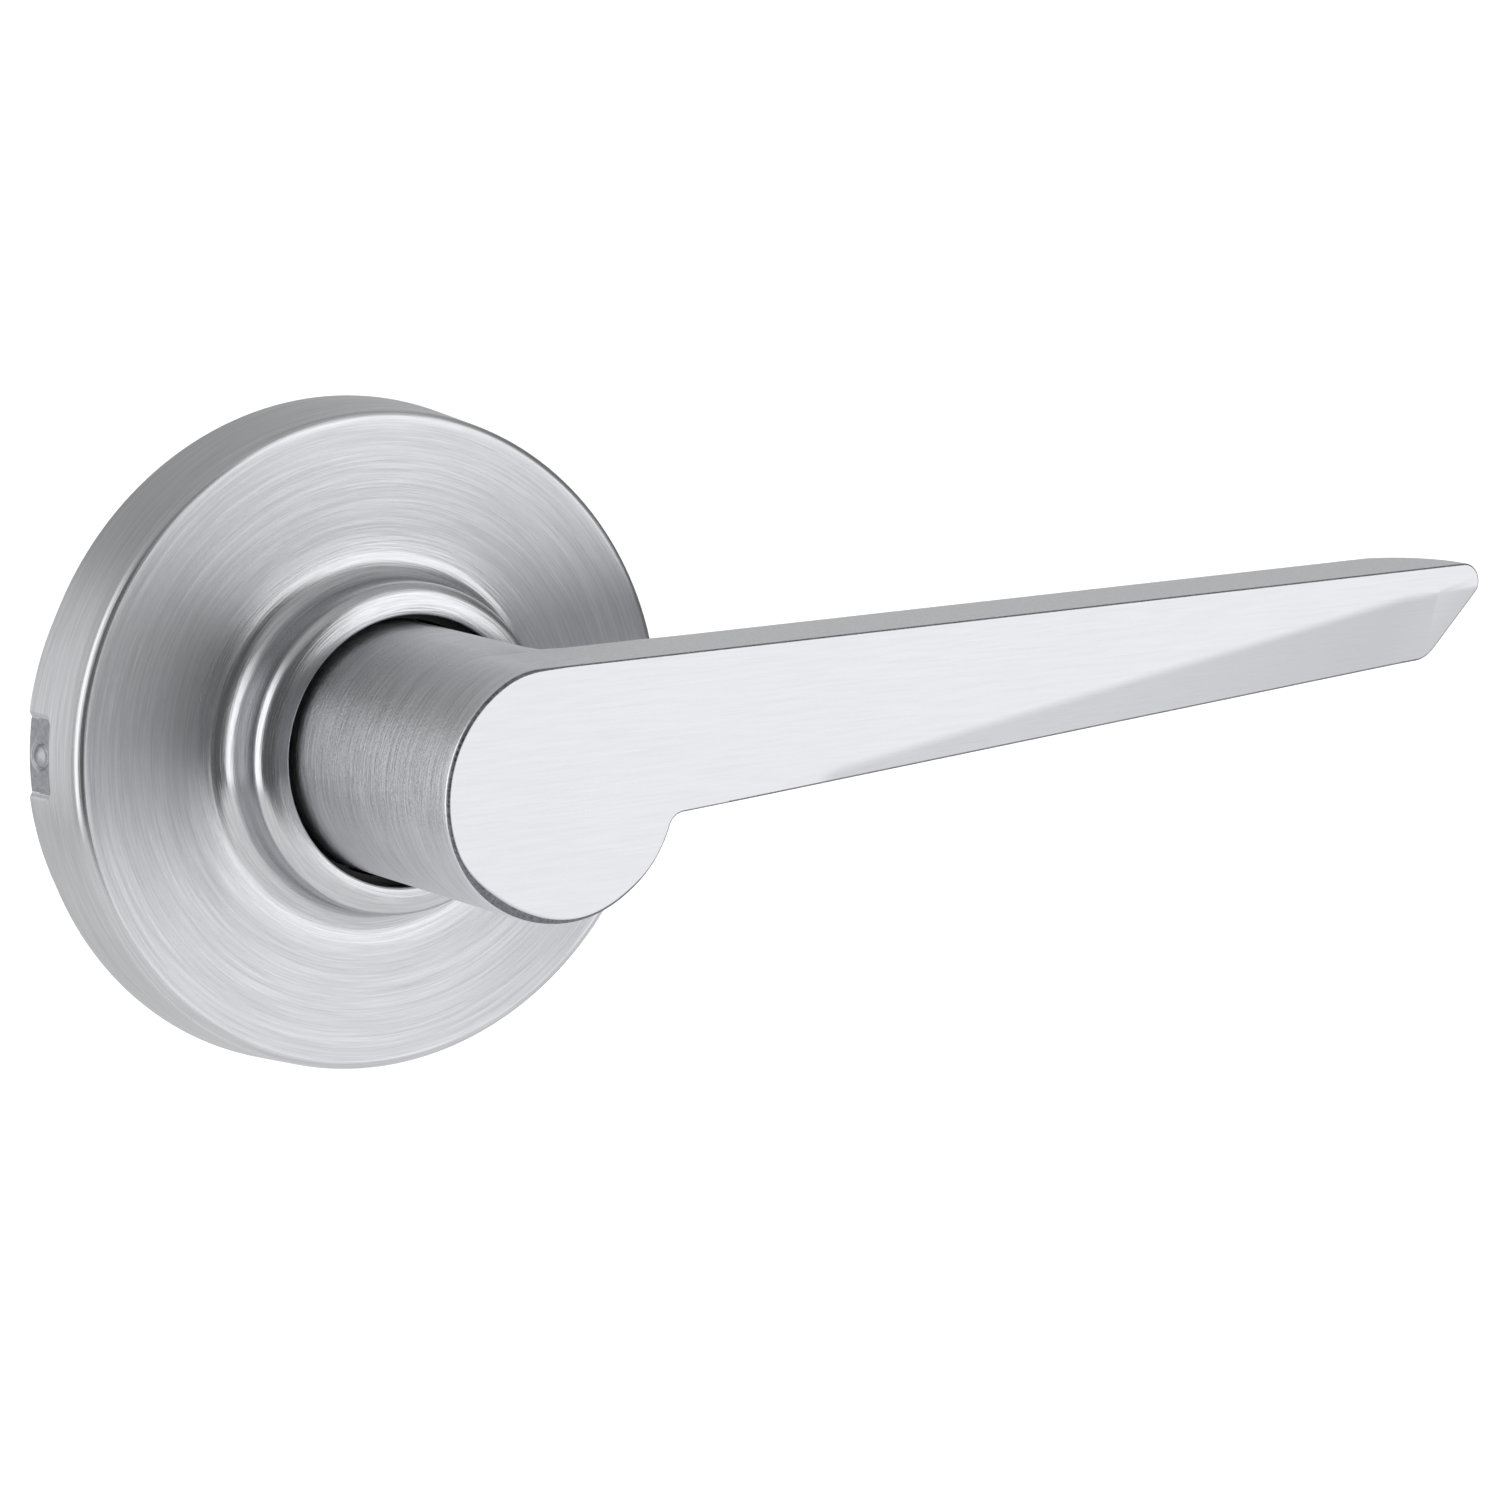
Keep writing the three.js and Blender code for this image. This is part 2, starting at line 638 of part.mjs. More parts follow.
const roseSide = new THREE.Group();
roseSide.name = 'rose_side';
add(roseSide, 'rose_cover', roseCover(), satinChrome());
add(roseSide, 'mounting_plate', mountingPlate(), zincPlate());
add(roseSide, 'spring_housing', springHousing(), dieCastZinc());
add(roseSide, 'housing_cover', housingCover(), zincPlate());
add(roseSide, 'return_spring', wire(new ReturnSpringPath(), WIRE_R, 84), springSteel());
add(roseSide, 'neck_bush', ring(BUSH_IN_R, BUSH_R, SLEEVE_END_Y, CUP_FRONT_Y - GAP), nylon());
add(roseSide, 'post_left', post(), zincPlate()).position.x = -POST_X;
add(roseSide, 'post_right', post(), zincPlate()).position.x = POST_X;
SCREW_ANGLES.forEach((angle, i) => {
  const screw = add(roseSide, `housing_screw_${i + 1}`, housingScrew(), zincPlate());
  screw.position.set(...onRing(angle));
  screw.rotation.y = radians(17 * i);
});

const handle = new THREE.Group();
handle.name = 'handle';
add(handle, 'lever', lever(), satinChrome());
add(handle, 'drive_hub', driveHub(), zincPlate());
add(handle, 'spindle', spindle(), zincPlate());
add(handle, 'spindle_pin', spindlePin(), springSteel());
add(handle, 'retaining_ring', retainingRing(), springSteel());
add(handle, 'thrust_washer',
  ring(BORE_R, NECK_R - 0.3, NECK_BACK_Y + GAP, CUP_FRONT_Y - GAP, 40), nylon());
add(handle, 'wave_washer', waveWasher(), springSteel());
add(handle, 'catch_spring', wire(new CatchSpringPath(), 0.3, 36), springSteel());

const catchBody = new THREE.Group();
catchBody.name = 'catch';
add(catchBody, 'lever_catch', leverCatch(), zincPlate());

model.add(roseSide, handle, catchBody);

export default model;
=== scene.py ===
# Door lever handle: the looks of one side of a lever set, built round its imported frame.
# Settings and boxes are in metres. The mesh code works in millimetres, and mesh_piece turns its
# meshes into metres. +Z is up, the door's face is the plane y = 0, the user stands at -Y, and the
# spindle axis is the Y axis.

import math

import bmesh
import bpy
from mathutils import Matrix, Quaternion, Vector


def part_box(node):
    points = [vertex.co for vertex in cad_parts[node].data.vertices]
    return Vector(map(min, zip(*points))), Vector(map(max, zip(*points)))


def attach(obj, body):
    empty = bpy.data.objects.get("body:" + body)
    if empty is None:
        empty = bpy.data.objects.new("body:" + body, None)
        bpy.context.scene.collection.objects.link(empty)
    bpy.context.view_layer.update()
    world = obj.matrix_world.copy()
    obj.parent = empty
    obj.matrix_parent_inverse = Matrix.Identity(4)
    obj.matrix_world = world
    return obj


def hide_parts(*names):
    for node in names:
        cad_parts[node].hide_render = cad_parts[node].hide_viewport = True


bl_info = {
    "name": "Door lever handle",
    "version": (1, 0, 0),
    "blender": (4, 5, 0),
    "location": "3D View > Sidebar > Lever handle",
    "description": "Builds the rose, the lever and the fixings of a door lever handle",
    "category": "Object",
}

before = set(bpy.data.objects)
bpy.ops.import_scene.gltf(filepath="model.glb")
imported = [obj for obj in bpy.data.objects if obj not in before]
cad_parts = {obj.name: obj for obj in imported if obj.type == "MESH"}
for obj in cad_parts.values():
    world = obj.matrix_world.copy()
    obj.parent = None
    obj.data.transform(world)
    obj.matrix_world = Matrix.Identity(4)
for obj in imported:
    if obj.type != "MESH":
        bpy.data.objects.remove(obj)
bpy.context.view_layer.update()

MM = 0.001
ROSE_LOW, ROSE_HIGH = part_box("rose_cover")
LEVER_LOW, LEVER_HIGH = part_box("lever")
HOUSING_LOW, HOUSING_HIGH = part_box("spring_housing")
COVER_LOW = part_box("housing_cover")[0]
POST_LOW, POST_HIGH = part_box("post_right")
HUB_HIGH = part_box("drive_hub")[1]


# ------------------------------------------------------------------ settings


class RoseSettings(bpy.types.PropertyGroup):
    """Sizes of the stamped rose."""

    radius: bpy.props.FloatProperty(
        name="Radius", description="Radius of the rose at its back edge",
        default=ROSE_HIGH.z, unit="LENGTH", subtype="DISTANCE", precision=4)
    boss_radius: bpy.props.FloatProperty(
        name="Boss radius", description="Radius of the raised boss round the neck",
        default=16.5 * MM, unit="LENGTH", subtype="DISTANCE", precision=4)
    face_depth: bpy.props.FloatProperty(
        name="Face depth", description="Distance from the door to the rose's flat face",
        default=8.9 * MM, unit="LENGTH", subtype="DISTANCE", precision=4)
    sheet: bpy.props.FloatProperty(
        name="Sheet", description="Thickness of the stamped sheet",
        default=0.9 * MM, unit="LENGTH", subtype="DISTANCE", precision=4)
    notch_height: bpy.props.FloatProperty(
        name="Notch height", description="Height of the prise-off recess in the rim",
        default=8.2 * MM, unit="LENGTH", subtype="DISTANCE", precision=4)


class LeverSettings(bpy.types.PropertyGroup):
    """Sizes of the lever."""

    neck_radius: bpy.props.FloatProperty(
        name="Neck radius", description="Radius of the round neck",
        default=LEVER_HIGH.z, unit="LENGTH", subtype="DISTANCE", precision=4)
    top: bpy.props.FloatProperty(
        name="Top", description="Height of the bar's flat top above the spindle axis",
        default=12 * MM, unit="LENGTH", subtype="DISTANCE", precision=4)
    thickness: bpy.props.FloatProperty(
        name="Thickness", description="Thickness of the bar, front to back",
        default=9.6 * MM, unit="LENGTH", subtype="DISTANCE", precision=4)
    facet_tilt: bpy.props.FloatProperty(
        name="Facet tilt", description="How far the lower front facet leans back",
        default=math.radians(20), subtype="ANGLE", unit="ROTATION")


class FinishSettings(bpy.types.PropertyGroup):
    """Colours of the finishes, as sRGB hex values."""

    chrome: bpy.props.StringProperty(
        name="Satin chrome", description="Colour of the satin chrome plate", default="#D3D4D7")
    # the front edge's colour is set darker than the chrome: a painted dark reflection of the
    # rounded edge
    edge: bpy.props.StringProperty(
        name="Edge chrome with painted reflection", description="Colour of the plate on the lever's front edge",
        default="#77797E")
    recess: bpy.props.StringProperty(
        name="Dull chrome", description="Colour of the plate in the rose's notches",
        default="#A6A7AC")
    zinc: bpy.props.StringProperty(
        name="Zinc plate", description="Colour of the bright zinc plate", default="#BFC3C9")
    casting: bpy.props.StringProperty(
        name="Die-cast zinc", description="Colour of the bare casting", default="#9C9EA3")
    steel: bpy.props.StringProperty(
        name="Spring steel", description="Colour of the spring steel", default="#8F9094")
    nylon: bpy.props.StringProperty(
        name="Nylon", description="Colour of the moulded nylon", default="#232326")


class StageSettings(bpy.types.PropertyGroup):
    """The floor, the studio light and the camera."""

    floor: bpy.props.StringProperty(
        name="Floor", description="Colour of the pale floor", default="#FCFCFC")
    azimuth: bpy.props.FloatProperty(
        name="Azimuth", description="Camera's angle round the object from straight in front",
        default=math.radians(-32.54), subtype="ANGLE", unit="ROTATION")
    elevation: bpy.props.FloatProperty(
        name="Elevation", description="Camera's angle above the horizon",
        default=math.radians(9.86), subtype="ANGLE", unit="ROTATION")
    roll: bpy.props.FloatProperty(
        name="Roll", description="Camera's roll about its own axis",
        default=math.radians(-0.92), subtype="ANGLE", unit="ROTATION")
    lens: bpy.props.FloatProperty(
        name="Lens", description="Focal length on a 36 mm sensor, in millimetres",
        default=138.3, unit="CAMERA")
    eye: bpy.props.FloatVectorProperty(
        name="Eye", description="Where the camera stands", size=3,
        default=(-0.269916, -0.49996, 0.095834), unit="LENGTH", subtype="TRANSLATION")


# ------------------------------------------------------------------ mesh tools


def arc(cx, cy, radius, start, end, steps):
    """Points on an arc from start to end, in degrees, both ends included."""
    return [
        (cx + radius * math.cos(math.radians(start + (end - start) * i / steps)),
         cy + radius * math.sin(math.radians(start + (end - start) * i / steps)))
        for i in range(steps + 1)
    ]


def line(a, b, steps):
    """Points from a to b, both ends left out."""
    return [(a[0] + (b[0] - a[0]) * i / steps, a[1] + (b[1] - a[1]) * i / steps)
            for i in range(1, steps)]


def mesh_piece(name, bm, sharp_degrees=28.0):
    """Turns a bmesh in millimetres into an object with crisp edges and smooth curves."""
    bmesh.ops.remove_doubles(bm, verts=bm.verts, dist=0.0005)
    bmesh.ops.recalc_face_normals(bm, faces=bm.faces)
    for face in bm.faces:
        face.smooth = True
    for edge in bm.edges:
        if len(edge.link_faces) == 2:
            edge.smooth = edge.calc_face_angle(0.0) < math.radians(sharp_degrees)
    mesh = bpy.data.meshes.new(name)
    bm.to_mesh(mesh)
    bm.free()
    mesh.transform(Matrix.Scale(MM, 4))
    piece = bpy.data.objects.new(name, mesh)
    bpy.context.scene.collection.objects.link(piece)
    return piece


def even_normals(piece):
    """Keeps large flat faces flat up to their rounded edges."""
    weighted = piece.modifiers.new("even_normals", "WEIGHTED_NORMAL")
    weighted.keep_sharp = True
    weighted.weight = 80


def join(bm, rings):
    """Joins rings of vertices, all the same length, with quads."""
    for low, high in zip(rings, rings[1:]):
        for i in range(len(low)):
            j = (i + 1) % len(low)
            bm.faces.new((low[i], low[j], high[j], high[i]))


def stack(bm, rings):
    """Joins rings of points with quads. Returns the rings' vertices."""
    made = [[bm.verts.new(p) for p in ring] for ring in rings]
    join(bm, made)
    return made


def turned(profile, angles, shift=None, capped=False):
    """A profile of (radius, y) points turned about Y, as a bmesh in millimetres. The profile
    closes on itself, or its two ends are capped with discs."""
    bm = bmesh.new()
    rings = []
    for radius, y in profile:
        ring = []
        for a in angles:
            r = radius + (shift(radius, y, a) if shift else 0.0)
            ring.append((r * math.cos(a), y, r * math.sin(a)))
        rings.append(ring)
    if not capped:
        rings.append(rings[0])
    made = stack(bm, rings)
    if capped:
        bm.faces.new(made[0])
        bm.faces.new(made[-1])
    return bm


def even_angles(count):
    """Angles of evenly spaced points round a circle."""
    return [2 * math.pi * i / count for i in range(count)]


def step(start, end, x):
    """Rises smoothly from 0 at start to 1 at end."""
    t = min(max((x - start) / (end - start), 0.0), 1.0)
    return t * t * (3 - 2 * t)


# ------------------------------------------------------------------ materials


def linear(hex_value):
    """An sRGB hex colour as linear RGBA."""
    parts = [int(hex_value.lstrip("#")[i:i + 2], 16) / 255 for i in (0, 2, 4)]
    return tuple(c / 12.92 if c <= 0.04045 else ((c + 0.055) / 1.055) ** 2.4
                 for c in parts) + (1.0,)


def add_node(tree, kind, links=None, **settings):
    """Adds a node, sets its properties and sockets, and links its inputs from other nodes."""
    node = tree.nodes.new(kind)
    for key, value in settings.items():
        if hasattr(node, key):
            setattr(node, key, value)
        else:
            node.inputs[key.replace("_", " ")].default_value = value
    for socket, source in (links or {}).items():
        tree.links.new(source, node.inputs[socket])
    return node


def new_material(name, color, metallic, roughness, anisotropic=0.0):
    """A material with its output and a Principled shader. Returns it, its tree and the shader."""
    material = bpy.data.materials.new(name)
    material.use_nodes = True
    tree = material.node_tree
    tree.nodes.clear()
    shader = add_node(tree, "ShaderNodeBsdfPrincipled")
    shader.inputs["Base Color"].default_value = linear(color)
    shader.inputs["Metallic"].default_value = metallic
    shader.inputs["Roughness"].default_value = roughness
    shader.inputs["Anisotropic"].default_value = anisotropic
    add_node(tree, "ShaderNodeOutputMaterial", {"Surface": shader.outputs["BSDF"]})
    return material, tree, shader


def times(tree, value, factor):
    """A value multiplied by a constant."""
    node = add_node(tree, "ShaderNodeMath", {0: value}, operation="MULTIPLY")
    node.inputs[1].default_value = factor
    return node.outputs[0]


def from_axis(tree):
    """Object coordinates, their part square to the spindle axis, and that part's length."""
    coords = add_node(tree, "ShaderNodeTexCoord")
    xyz = add_node(tree, "ShaderNodeSeparateXYZ", {0: coords.outputs["Object"]})
    flat = add_node(tree, "ShaderNodeCombineXYZ",
                    {"X": xyz.outputs["X"], "Z": xyz.outputs["Z"]})
    radius = add_node(tree, "ShaderNodeVectorMath", {0: flat.outputs[0]}, operation="LENGTH")
    return xyz, flat, radius.outputs["Value"]


def turned_grain(tree, across_mm, around):
    """Noise drawn out round the spindle axis, as a lathe or a turning brush leaves it.
    across_mm is the width of a streak, and around says how often it changes in a turn."""
    xyz, flat, radius = from_axis(tree)
    heading = add_node(tree, "ShaderNodeVectorMath", {0: flat.outputs[0]}, operation="NORMALIZE")
    part = add_node(tree, "ShaderNodeSeparateXYZ", {0: heading.outputs[0]})
    per_m = 1000.0 / across_mm
    where = add_node(tree, "ShaderNodeCombineXYZ", {
        "X": times(tree, radius, per_m), "Y": times(tree, xyz.outputs["Y"], per_m),
        "Z": times(tree, part.outputs["X"], around)})
    return add_node(tree, "ShaderNodeTexNoise",
                    {"Vector": where.outputs[0], "W": times(tree, part.outputs["Z"], around)},
                    noise_dimensions="4D", Scale=1.0, Detail=3.0, Roughness=0.65)


def drawn_grain(tree, across_mm, run_mm, axis):
    """Noise drawn out along one axis, as a belt or a brush leaves it on a straight pass.
    across_mm is the width of a streak and run_mm its length."""
    coords = add_node(tree, "ShaderNodeTexCoord")
    scale = [1000.0 / across_mm] * 3
    scale["XYZ".index(axis)] = 1000.0 / run_mm
    place = add_node(tree, "ShaderNodeMapping", {"Vector": coords.outputs["Object"]})
    place.inputs["Scale"].default_value = scale
    return add_node(tree, "ShaderNodeTexNoise", {"Vector": place.outputs[0]},
                    Scale=1.0, Detail=3.0, Roughness=0.6)


def fine_grit(tree, grain_mm):
    """Even fine grain, as blasting or tumbling leaves it."""
    coords = add_node(tree, "ShaderNodeTexCoord")
    return add_node(tree, "ShaderNodeTexNoise", {"Vector": coords.outputs["Object"]},
                    Scale=1000.0 / grain_mm, Detail=2.0, Roughness=0.6)


def bump(tree, height, strength, depth_mm, after=None):
    """Bumps the normal by a height, on top of an earlier bump if there is one."""
    links = {"Height": height}
    if after is not None:
        links["Normal"] = after
    node = add_node(tree, "ShaderNodeBump", links)
    node.inputs["Strength"].default_value = strength
    node.inputs["Distance"].default_value = depth_mm * MM
    return node


def vary(tree, value, low, high, start=0.3, end=0.7):
    """Maps a value from start..end to low..high. The defaults suit a noise."""
    node = add_node(tree, "ShaderNodeMapRange", {"Value": value})
    node.inputs["From Min"].default_value = start
    node.inputs["From Max"].default_value = end
    node.inputs["To Min"].default_value = low
    node.inputs["To Max"].default_value = high
    return node


def along_grain(tree, shader, axis):
    """Spreads the highlight across the grain, which runs round or across the given axis."""
    tangent = add_node(tree, "ShaderNodeTangent", direction_type="RADIAL", axis=axis)
    tree.links.new(tangent.outputs[0], shader.inputs["Tangent"])
    shader.inputs["Anisotropic Rotation"].default_value = 0.25


def tint(tree, shader, value, color, low, high):
    """Carries a streak or a stain into the base colour, between low and high times the colour."""
    mix = add_node(tree, "ShaderNodeMix", {0: vary(tree, value, 0.0, 1.0).outputs[0]},
                   data_type="RGBA")
    base = linear(color)
    mix.inputs[6].default_value = tuple(c * low for c in base[:3]) + (1.0,)
    mix.inputs[7].default_value = tuple(min(c * high, 1.0) for c in base[:3]) + (1.0,)
    tree.links.new(mix.outputs[2], shader.inputs["Base Color"])


def dress(tree, shader, rough, skin):
    """Links a roughness and a bumped normal to a shader."""
    tree.links.new(rough.outputs[0], shader.inputs["Roughness"])
    tree.links.new(skin.outputs[0], shader.inputs["Normal"])


# radii between which the rose's finish changes, in millimetres
BOSS_FADE = (18.2, 21.5)        # from the smooth boss to the streaked face
EDGE_RISE = (31.6, 32.1)        # from the face to the smooth rolled edge
EDGE_FALL = (32.75, 33.0)       # from the rolled edge to the rim


def turned_satin_chrome():
    """Satin chrome plate over a turned steel pressing: fine rings round the axis spread each
    highlight across them, so the face shows bright and dark sectors. The boss and the rolled
    front edge are smoother."""
    color = bpy.context.scene.finish_settings.chrome
    material, tree, shader = new_material("turned_satin_chrome", color, 1.0, 0.36, 0.85)
    along_grain(tree, shader, "Y")
    wide = turned_grain(tree, 0.5, 1.3)
    fine = turned_grain(tree, 0.2, 3.2)
    radius = from_axis(tree)[2]
    boss = vary(tree, radius, 0.2, 0.0, BOSS_FADE[0] * MM, BOSS_FADE[1] * MM)
    edge_in = vary(tree, radius, 0.0, 0.14, EDGE_RISE[0] * MM, EDGE_RISE[1] * MM)
    edge_out = vary(tree, radius, 1.0, 0.0, EDGE_FALL[0] * MM, EDGE_FALL[1] * MM)
    edge = add_node(tree, "ShaderNodeMath", {0: edge_in.outputs[0], 1: edge_out.outputs[0]},
                    operation="MULTIPLY")
    smooth = add_node(tree, "ShaderNodeMath", {0: boss.outputs[0], 1: edge.outputs[0]},
                      operation="ADD")
    rough = add_node(tree, "ShaderNodeMath", {
        0: vary(tree, wide.outputs["Fac"], 0.33, 0.42).outputs[0], 1: smooth.outputs[0]},
        operation="SUBTRACT")
    tint(tree, shader, fine.outputs["Fac"], color, 0.76, 0.98)
    first = bump(tree, wide.outputs["Fac"], 1.0, 0.03)
    dress(tree, shader, rough, bump(tree, fine.outputs["Fac"], 1.0, 0.025, first.outputs[0]))
    return material


def belt_brushed_chrome():
    """Satin chrome plate on the lever's front and the back of its bar, brushed lengthwise on a
    belt: the light spreads upright, so each reads as one pale face."""
    color = bpy.context.scene.finish_settings.chrome
    material, tree, shader = new_material("belt_brushed_chrome", color, 1.0, 0.36, 0.85)
    along_grain(tree, shader, "Z")
    wide = drawn_grain(tree, 0.9, 24.0, "X")
    fine = drawn_grain(tree, 0.22, 7.0, "X")
    rough = vary(tree, fine.outputs["Fac"], 0.32, 0.42)
    tint(tree, shader, fine.outputs["Fac"], color, 0.95, 1.02)
    first = bump(tree, wide.outputs["Fac"], 1.0, 0.008)
    dress(tree, shader, rough, bump(tree, fine.outputs["Fac"], 1.0, 0.007, first.outputs[0]))
    return material


def hand_brushed_chrome():
    """Satin chrome plate on the neck and the sides of the lever: fine scratches run round the
    neck, over an even grain that keeps the top of the bar soft and grey."""
    color = bpy.context.scene.finish_settings.chrome
    material, tree, shader = new_material("hand_brushed_chrome", color, 1.0, 0.34, 0.75)
    along_grain(tree, shader, "Y")
    scratches = turned_grain(tree, 0.22, 2.0)
    grit = fine_grit(tree, 0.3)
    both = add_node(tree, "ShaderNodeMath", {0: scratches.outputs["Fac"], 1: grit.outputs["Fac"]},
                    operation="ADD")
    rough = vary(tree, both.outputs[0], 0.28, 0.42, 0.7, 1.3)
    tint(tree, shader, scratches.outputs["Fac"], color, 0.9, 1.2)
    first = bump(tree, scratches.outputs["Fac"], 1.0, 0.03)
    dress(tree, shader, rough, bump(tree, grit.outputs["Fac"], 1.0, 0.03, first.outputs[0]))
    return material


def edge_chrome_painted_reflection():
    """Satin chrome plate on the lever's rounded front edge, where the belt stops: coloured darker,
    as a painted dark reflection of the rounding, and roughly dressed in places."""
    # the edge colour is darker than the chrome: a painted dark reflection
    color = bpy.context.scene.finish_settings.edge
    material, tree, shader = new_material("edge_chrome_painted_reflection", color, 1.0, 0.42)
    patch = fine_grit(tree, 0.3)
    rough = vary(tree, patch.outputs["Fac"], 0.34, 0.5)
    tint(tree, shader, patch.outputs["Fac"], color, 0.7, 1.5)
    dress(tree, shader, rough, bump(tree, patch.outputs["Fac"], 1.0, 0.08))
    return material


def pressed_dull_chrome():
    """Chrome plate on the floor of a pressed recess, where no brush reaches: duller. Its colour is
    set darker than the rest of the rose.
    """
    color = bpy.context.scene.finish_settings.recess
    material, tree, shader = new_material("pressed_dull_chrome", color, 1.0, 0.45)
    grit = fine_grit(tree, 0.4)
    rough = vary(tree, grit.outputs["Fac"], 0.38, 0.52)
    tint(tree, shader, grit.outputs["Fac"], color, 0.85, 1.1)
    dress(tree, shader, rough, bump(tree, grit.outputs["Fac"], 1.0, 0.03))
    return material


def bright_zinc_plate():
    """Bright zinc plate on pressed and turned steel: a cool, slightly cloudy metal."""
    color = bpy.context.scene.finish_settings.zinc
    material, tree, shader = new_material("bright_zinc_plate", color, 1.0, 0.32)
    cloud = fine_grit(tree, 4.0)
    grit = fine_grit(tree, 0.3)
    rough = vary(tree, cloud.outputs["Fac"], 0.26, 0.42)
    dress(tree, shader, rough, bump(tree, grit.outputs["Fac"], 0.15, 0.02))
    return material


def bare_die_cast_zinc():
    """Zinc as it leaves the die: dull grey with a faint flow pattern."""
    color = bpy.context.scene.finish_settings.casting
    material, tree, shader = new_material("bare_die_cast_zinc", color, 1.0, 0.48)
    flow = fine_grit(tree, 6.0)
    grit = fine_grit(tree, 0.4)
    rough = vary(tree, flow.outputs["Fac"], 0.4, 0.58)
    dress(tree, shader, rough, bump(tree, grit.outputs["Fac"], 0.3, 0.04))
    return material


def drawn_spring_steel():
    """Hard-drawn spring steel with an oiled, faintly streaked skin."""
    color = bpy.context.scene.finish_settings.steel
    material, tree, shader = new_material("drawn_spring_steel", color, 1.0, 0.3)
    streak = turned_grain(tree, 0.3, 4.0)
    rough = vary(tree, streak.outputs["Fac"], 0.24, 0.4)
    tree.links.new(rough.outputs[0], shader.inputs["Roughness"])
    return material


def moulded_black_nylon():
    """Moulded nylon: black, slightly mottled, with a soft sheen from the mould."""
    color = bpy.context.scene.finish_settings.nylon
    material, tree, shader = new_material("moulded_black_nylon", color, 0.0, 0.5)
    shader.inputs["IOR"].default_value = 1.53
    grit = fine_grit(tree, 0.35)
    skin = bump(tree, grit.outputs["Fac"], 0.2, 0.03)
    tree.links.new(skin.outputs[0], shader.inputs["Normal"])
    return material


def paint(piece, material):
    """Makes a material the piece's only one."""
    piece.data.materials.clear()
    piece.data.materials.append(material)


# ------------------------------------------------------------------ rose


def rose_profile(rose):
    """Closed outline of the stamped rose, as (radius, y) in millimetres."""
    back = rose.radius / MM
    face = -rose.face_depth / MM
    sheet = rose.sheet / MM
    boss = rose.boss_radius / MM
    end = ROSE_LOW.y / MM
    bore = 13.4         # the hole round the neck
    rim = back - 0.7    # the rim narrows towards the front
    knee = rim + 0.35   # its radius where the straight band ends
    band = -4.2         # where the straight band ends
    burr = 0.12         # the broken back edge
    edge = 0.9          # the rolled front edge
    root = 2.5          # the hollow where the boss rises from the face
    nose = 1.5          # the rounding of the boss
    crown = 0.6         # how far the boss rises inside its rounding
    lip = 0.35          # the rounding of the hole
    outside = [(back - burr, 0.0), (back, -burr)]
    outside += line((back, -burr), (knee, band), 52)
    outside += [(knee, band)]
    outside += line((knee, band), (rim, face + edge), 12)
    outside += arc(rim - edge, face + edge, edge, 0, -90, 10)
    outside += line((rim - edge, face), (boss + root, face), 8)
    outside += arc(boss + root, face - root, root, 90, 180, 14)
    outside += line((boss, face - root), (boss, end + crown + nose), 3)
    outside += arc(boss - nose, end + crown + nose, nose, 0, -78, 10)
    outside += arc(bore + lip, end + lip, lip, -100, -180, 5)
    inside = [
        (bore, end + sheet),
        (boss - sheet, end + sheet + 1.4),
        *arc(boss + root, face - root, root + sheet, 180, 90, 6),
        (rim - sheet - 0.3, face + sheet),
        (rim - sheet, face + sheet + 0.3),
        (back - sheet, -0.1),
        (back - sheet + 0.1, 0.0),
    ]
    return outside + inside


NOTCH_TURN = math.radians(2.1)    # the notches sit a little round from level
NOTCH_DEPTH = 0.3                 # mm
NOTCH_REACH = 3.9                 # how far the notch runs forward from the door, mm
NOTCH_EASE = 0.45                 # how far its two ends slope, mm
NOTCH_ROLL = 0.25                 # how far its front end slopes, mm
NOTCH_R = 33.4                    # radius at which heights along the rim are taken, mm
PIP_AT = 1.8                      # the pip's distance from the door, mm
PIP_HEIGHT = 0.28                 # the pip's height, mm
PIP_GROOVE = 0.22                 # depth of the groove round the pip, mm
FLARE = 0.35                      # how far the rim flares out beside the notches, mm
FLARE_R = 30.0                    # radius of the flared part of the rim, mm
FLARE_END = 7.5                   # distance from the door at which the flare has run out, mm
RIM_SHEET = 0.85                  # points further in than this aren't on the rim's outside, mm


def notch_place(x, z):
    """Height above the middle of the nearer notch, along the rim, in millimetres."""
    radius = math.hypot(x, z)
    turn = math.atan2(z, x) + NOTCH_TURN
    turn -= math.pi * round(turn / math.pi)
    return radius * turn


def flare_out(radius, up):
    """How far the flared part of the rim stands outside the round rim, at a height above the
    middle of the notch, in millimetres."""
    off = radius + FLARE - FLARE_R
    turn = up / radius
    reach = off * math.cos(turn) + math.sqrt(max(FLARE_R ** 2 - (off * math.sin(turn)) ** 2, 0))
    return max(reach - radius, 0.0)


def rim_shift(rose):
    """How far the rim is pressed in, at a radius, y and angle: the notch and its round pip."""
    half = rose.notch_height / MM / 2
    back = rose.radius / MM

    def shift(radius, y, angle):
        if radius < back - RIM_SHEET or y < -FLARE_END:
            return 0.0
        up = notch_place(math.cos(angle) * NOTCH_R, math.sin(angle) * NOTCH_R)
        away = abs(up) - half
        end = NOTCH_REACH - 0.6 * step(-1.0, 0.0, away)     # round at its front corners
        deep = (NOTCH_DEPTH * (1 - step(-NOTCH_EASE, 0.1, away))
                * (1 - step(end - NOTCH_ROLL, end, -y)))
        pip = math.hypot(up, y + PIP_AT)
        groove = step(0.95, 1.2, pip) * (1 - step(1.2, 1.5, pip))
        dome = PIP_HEIGHT * (1 - step(0.2, 1.1, pip)) - PIP_GROOVE * groove
        return flare_out(back, up) * (1 + y / FLARE_END) + dome - deep

    return shift


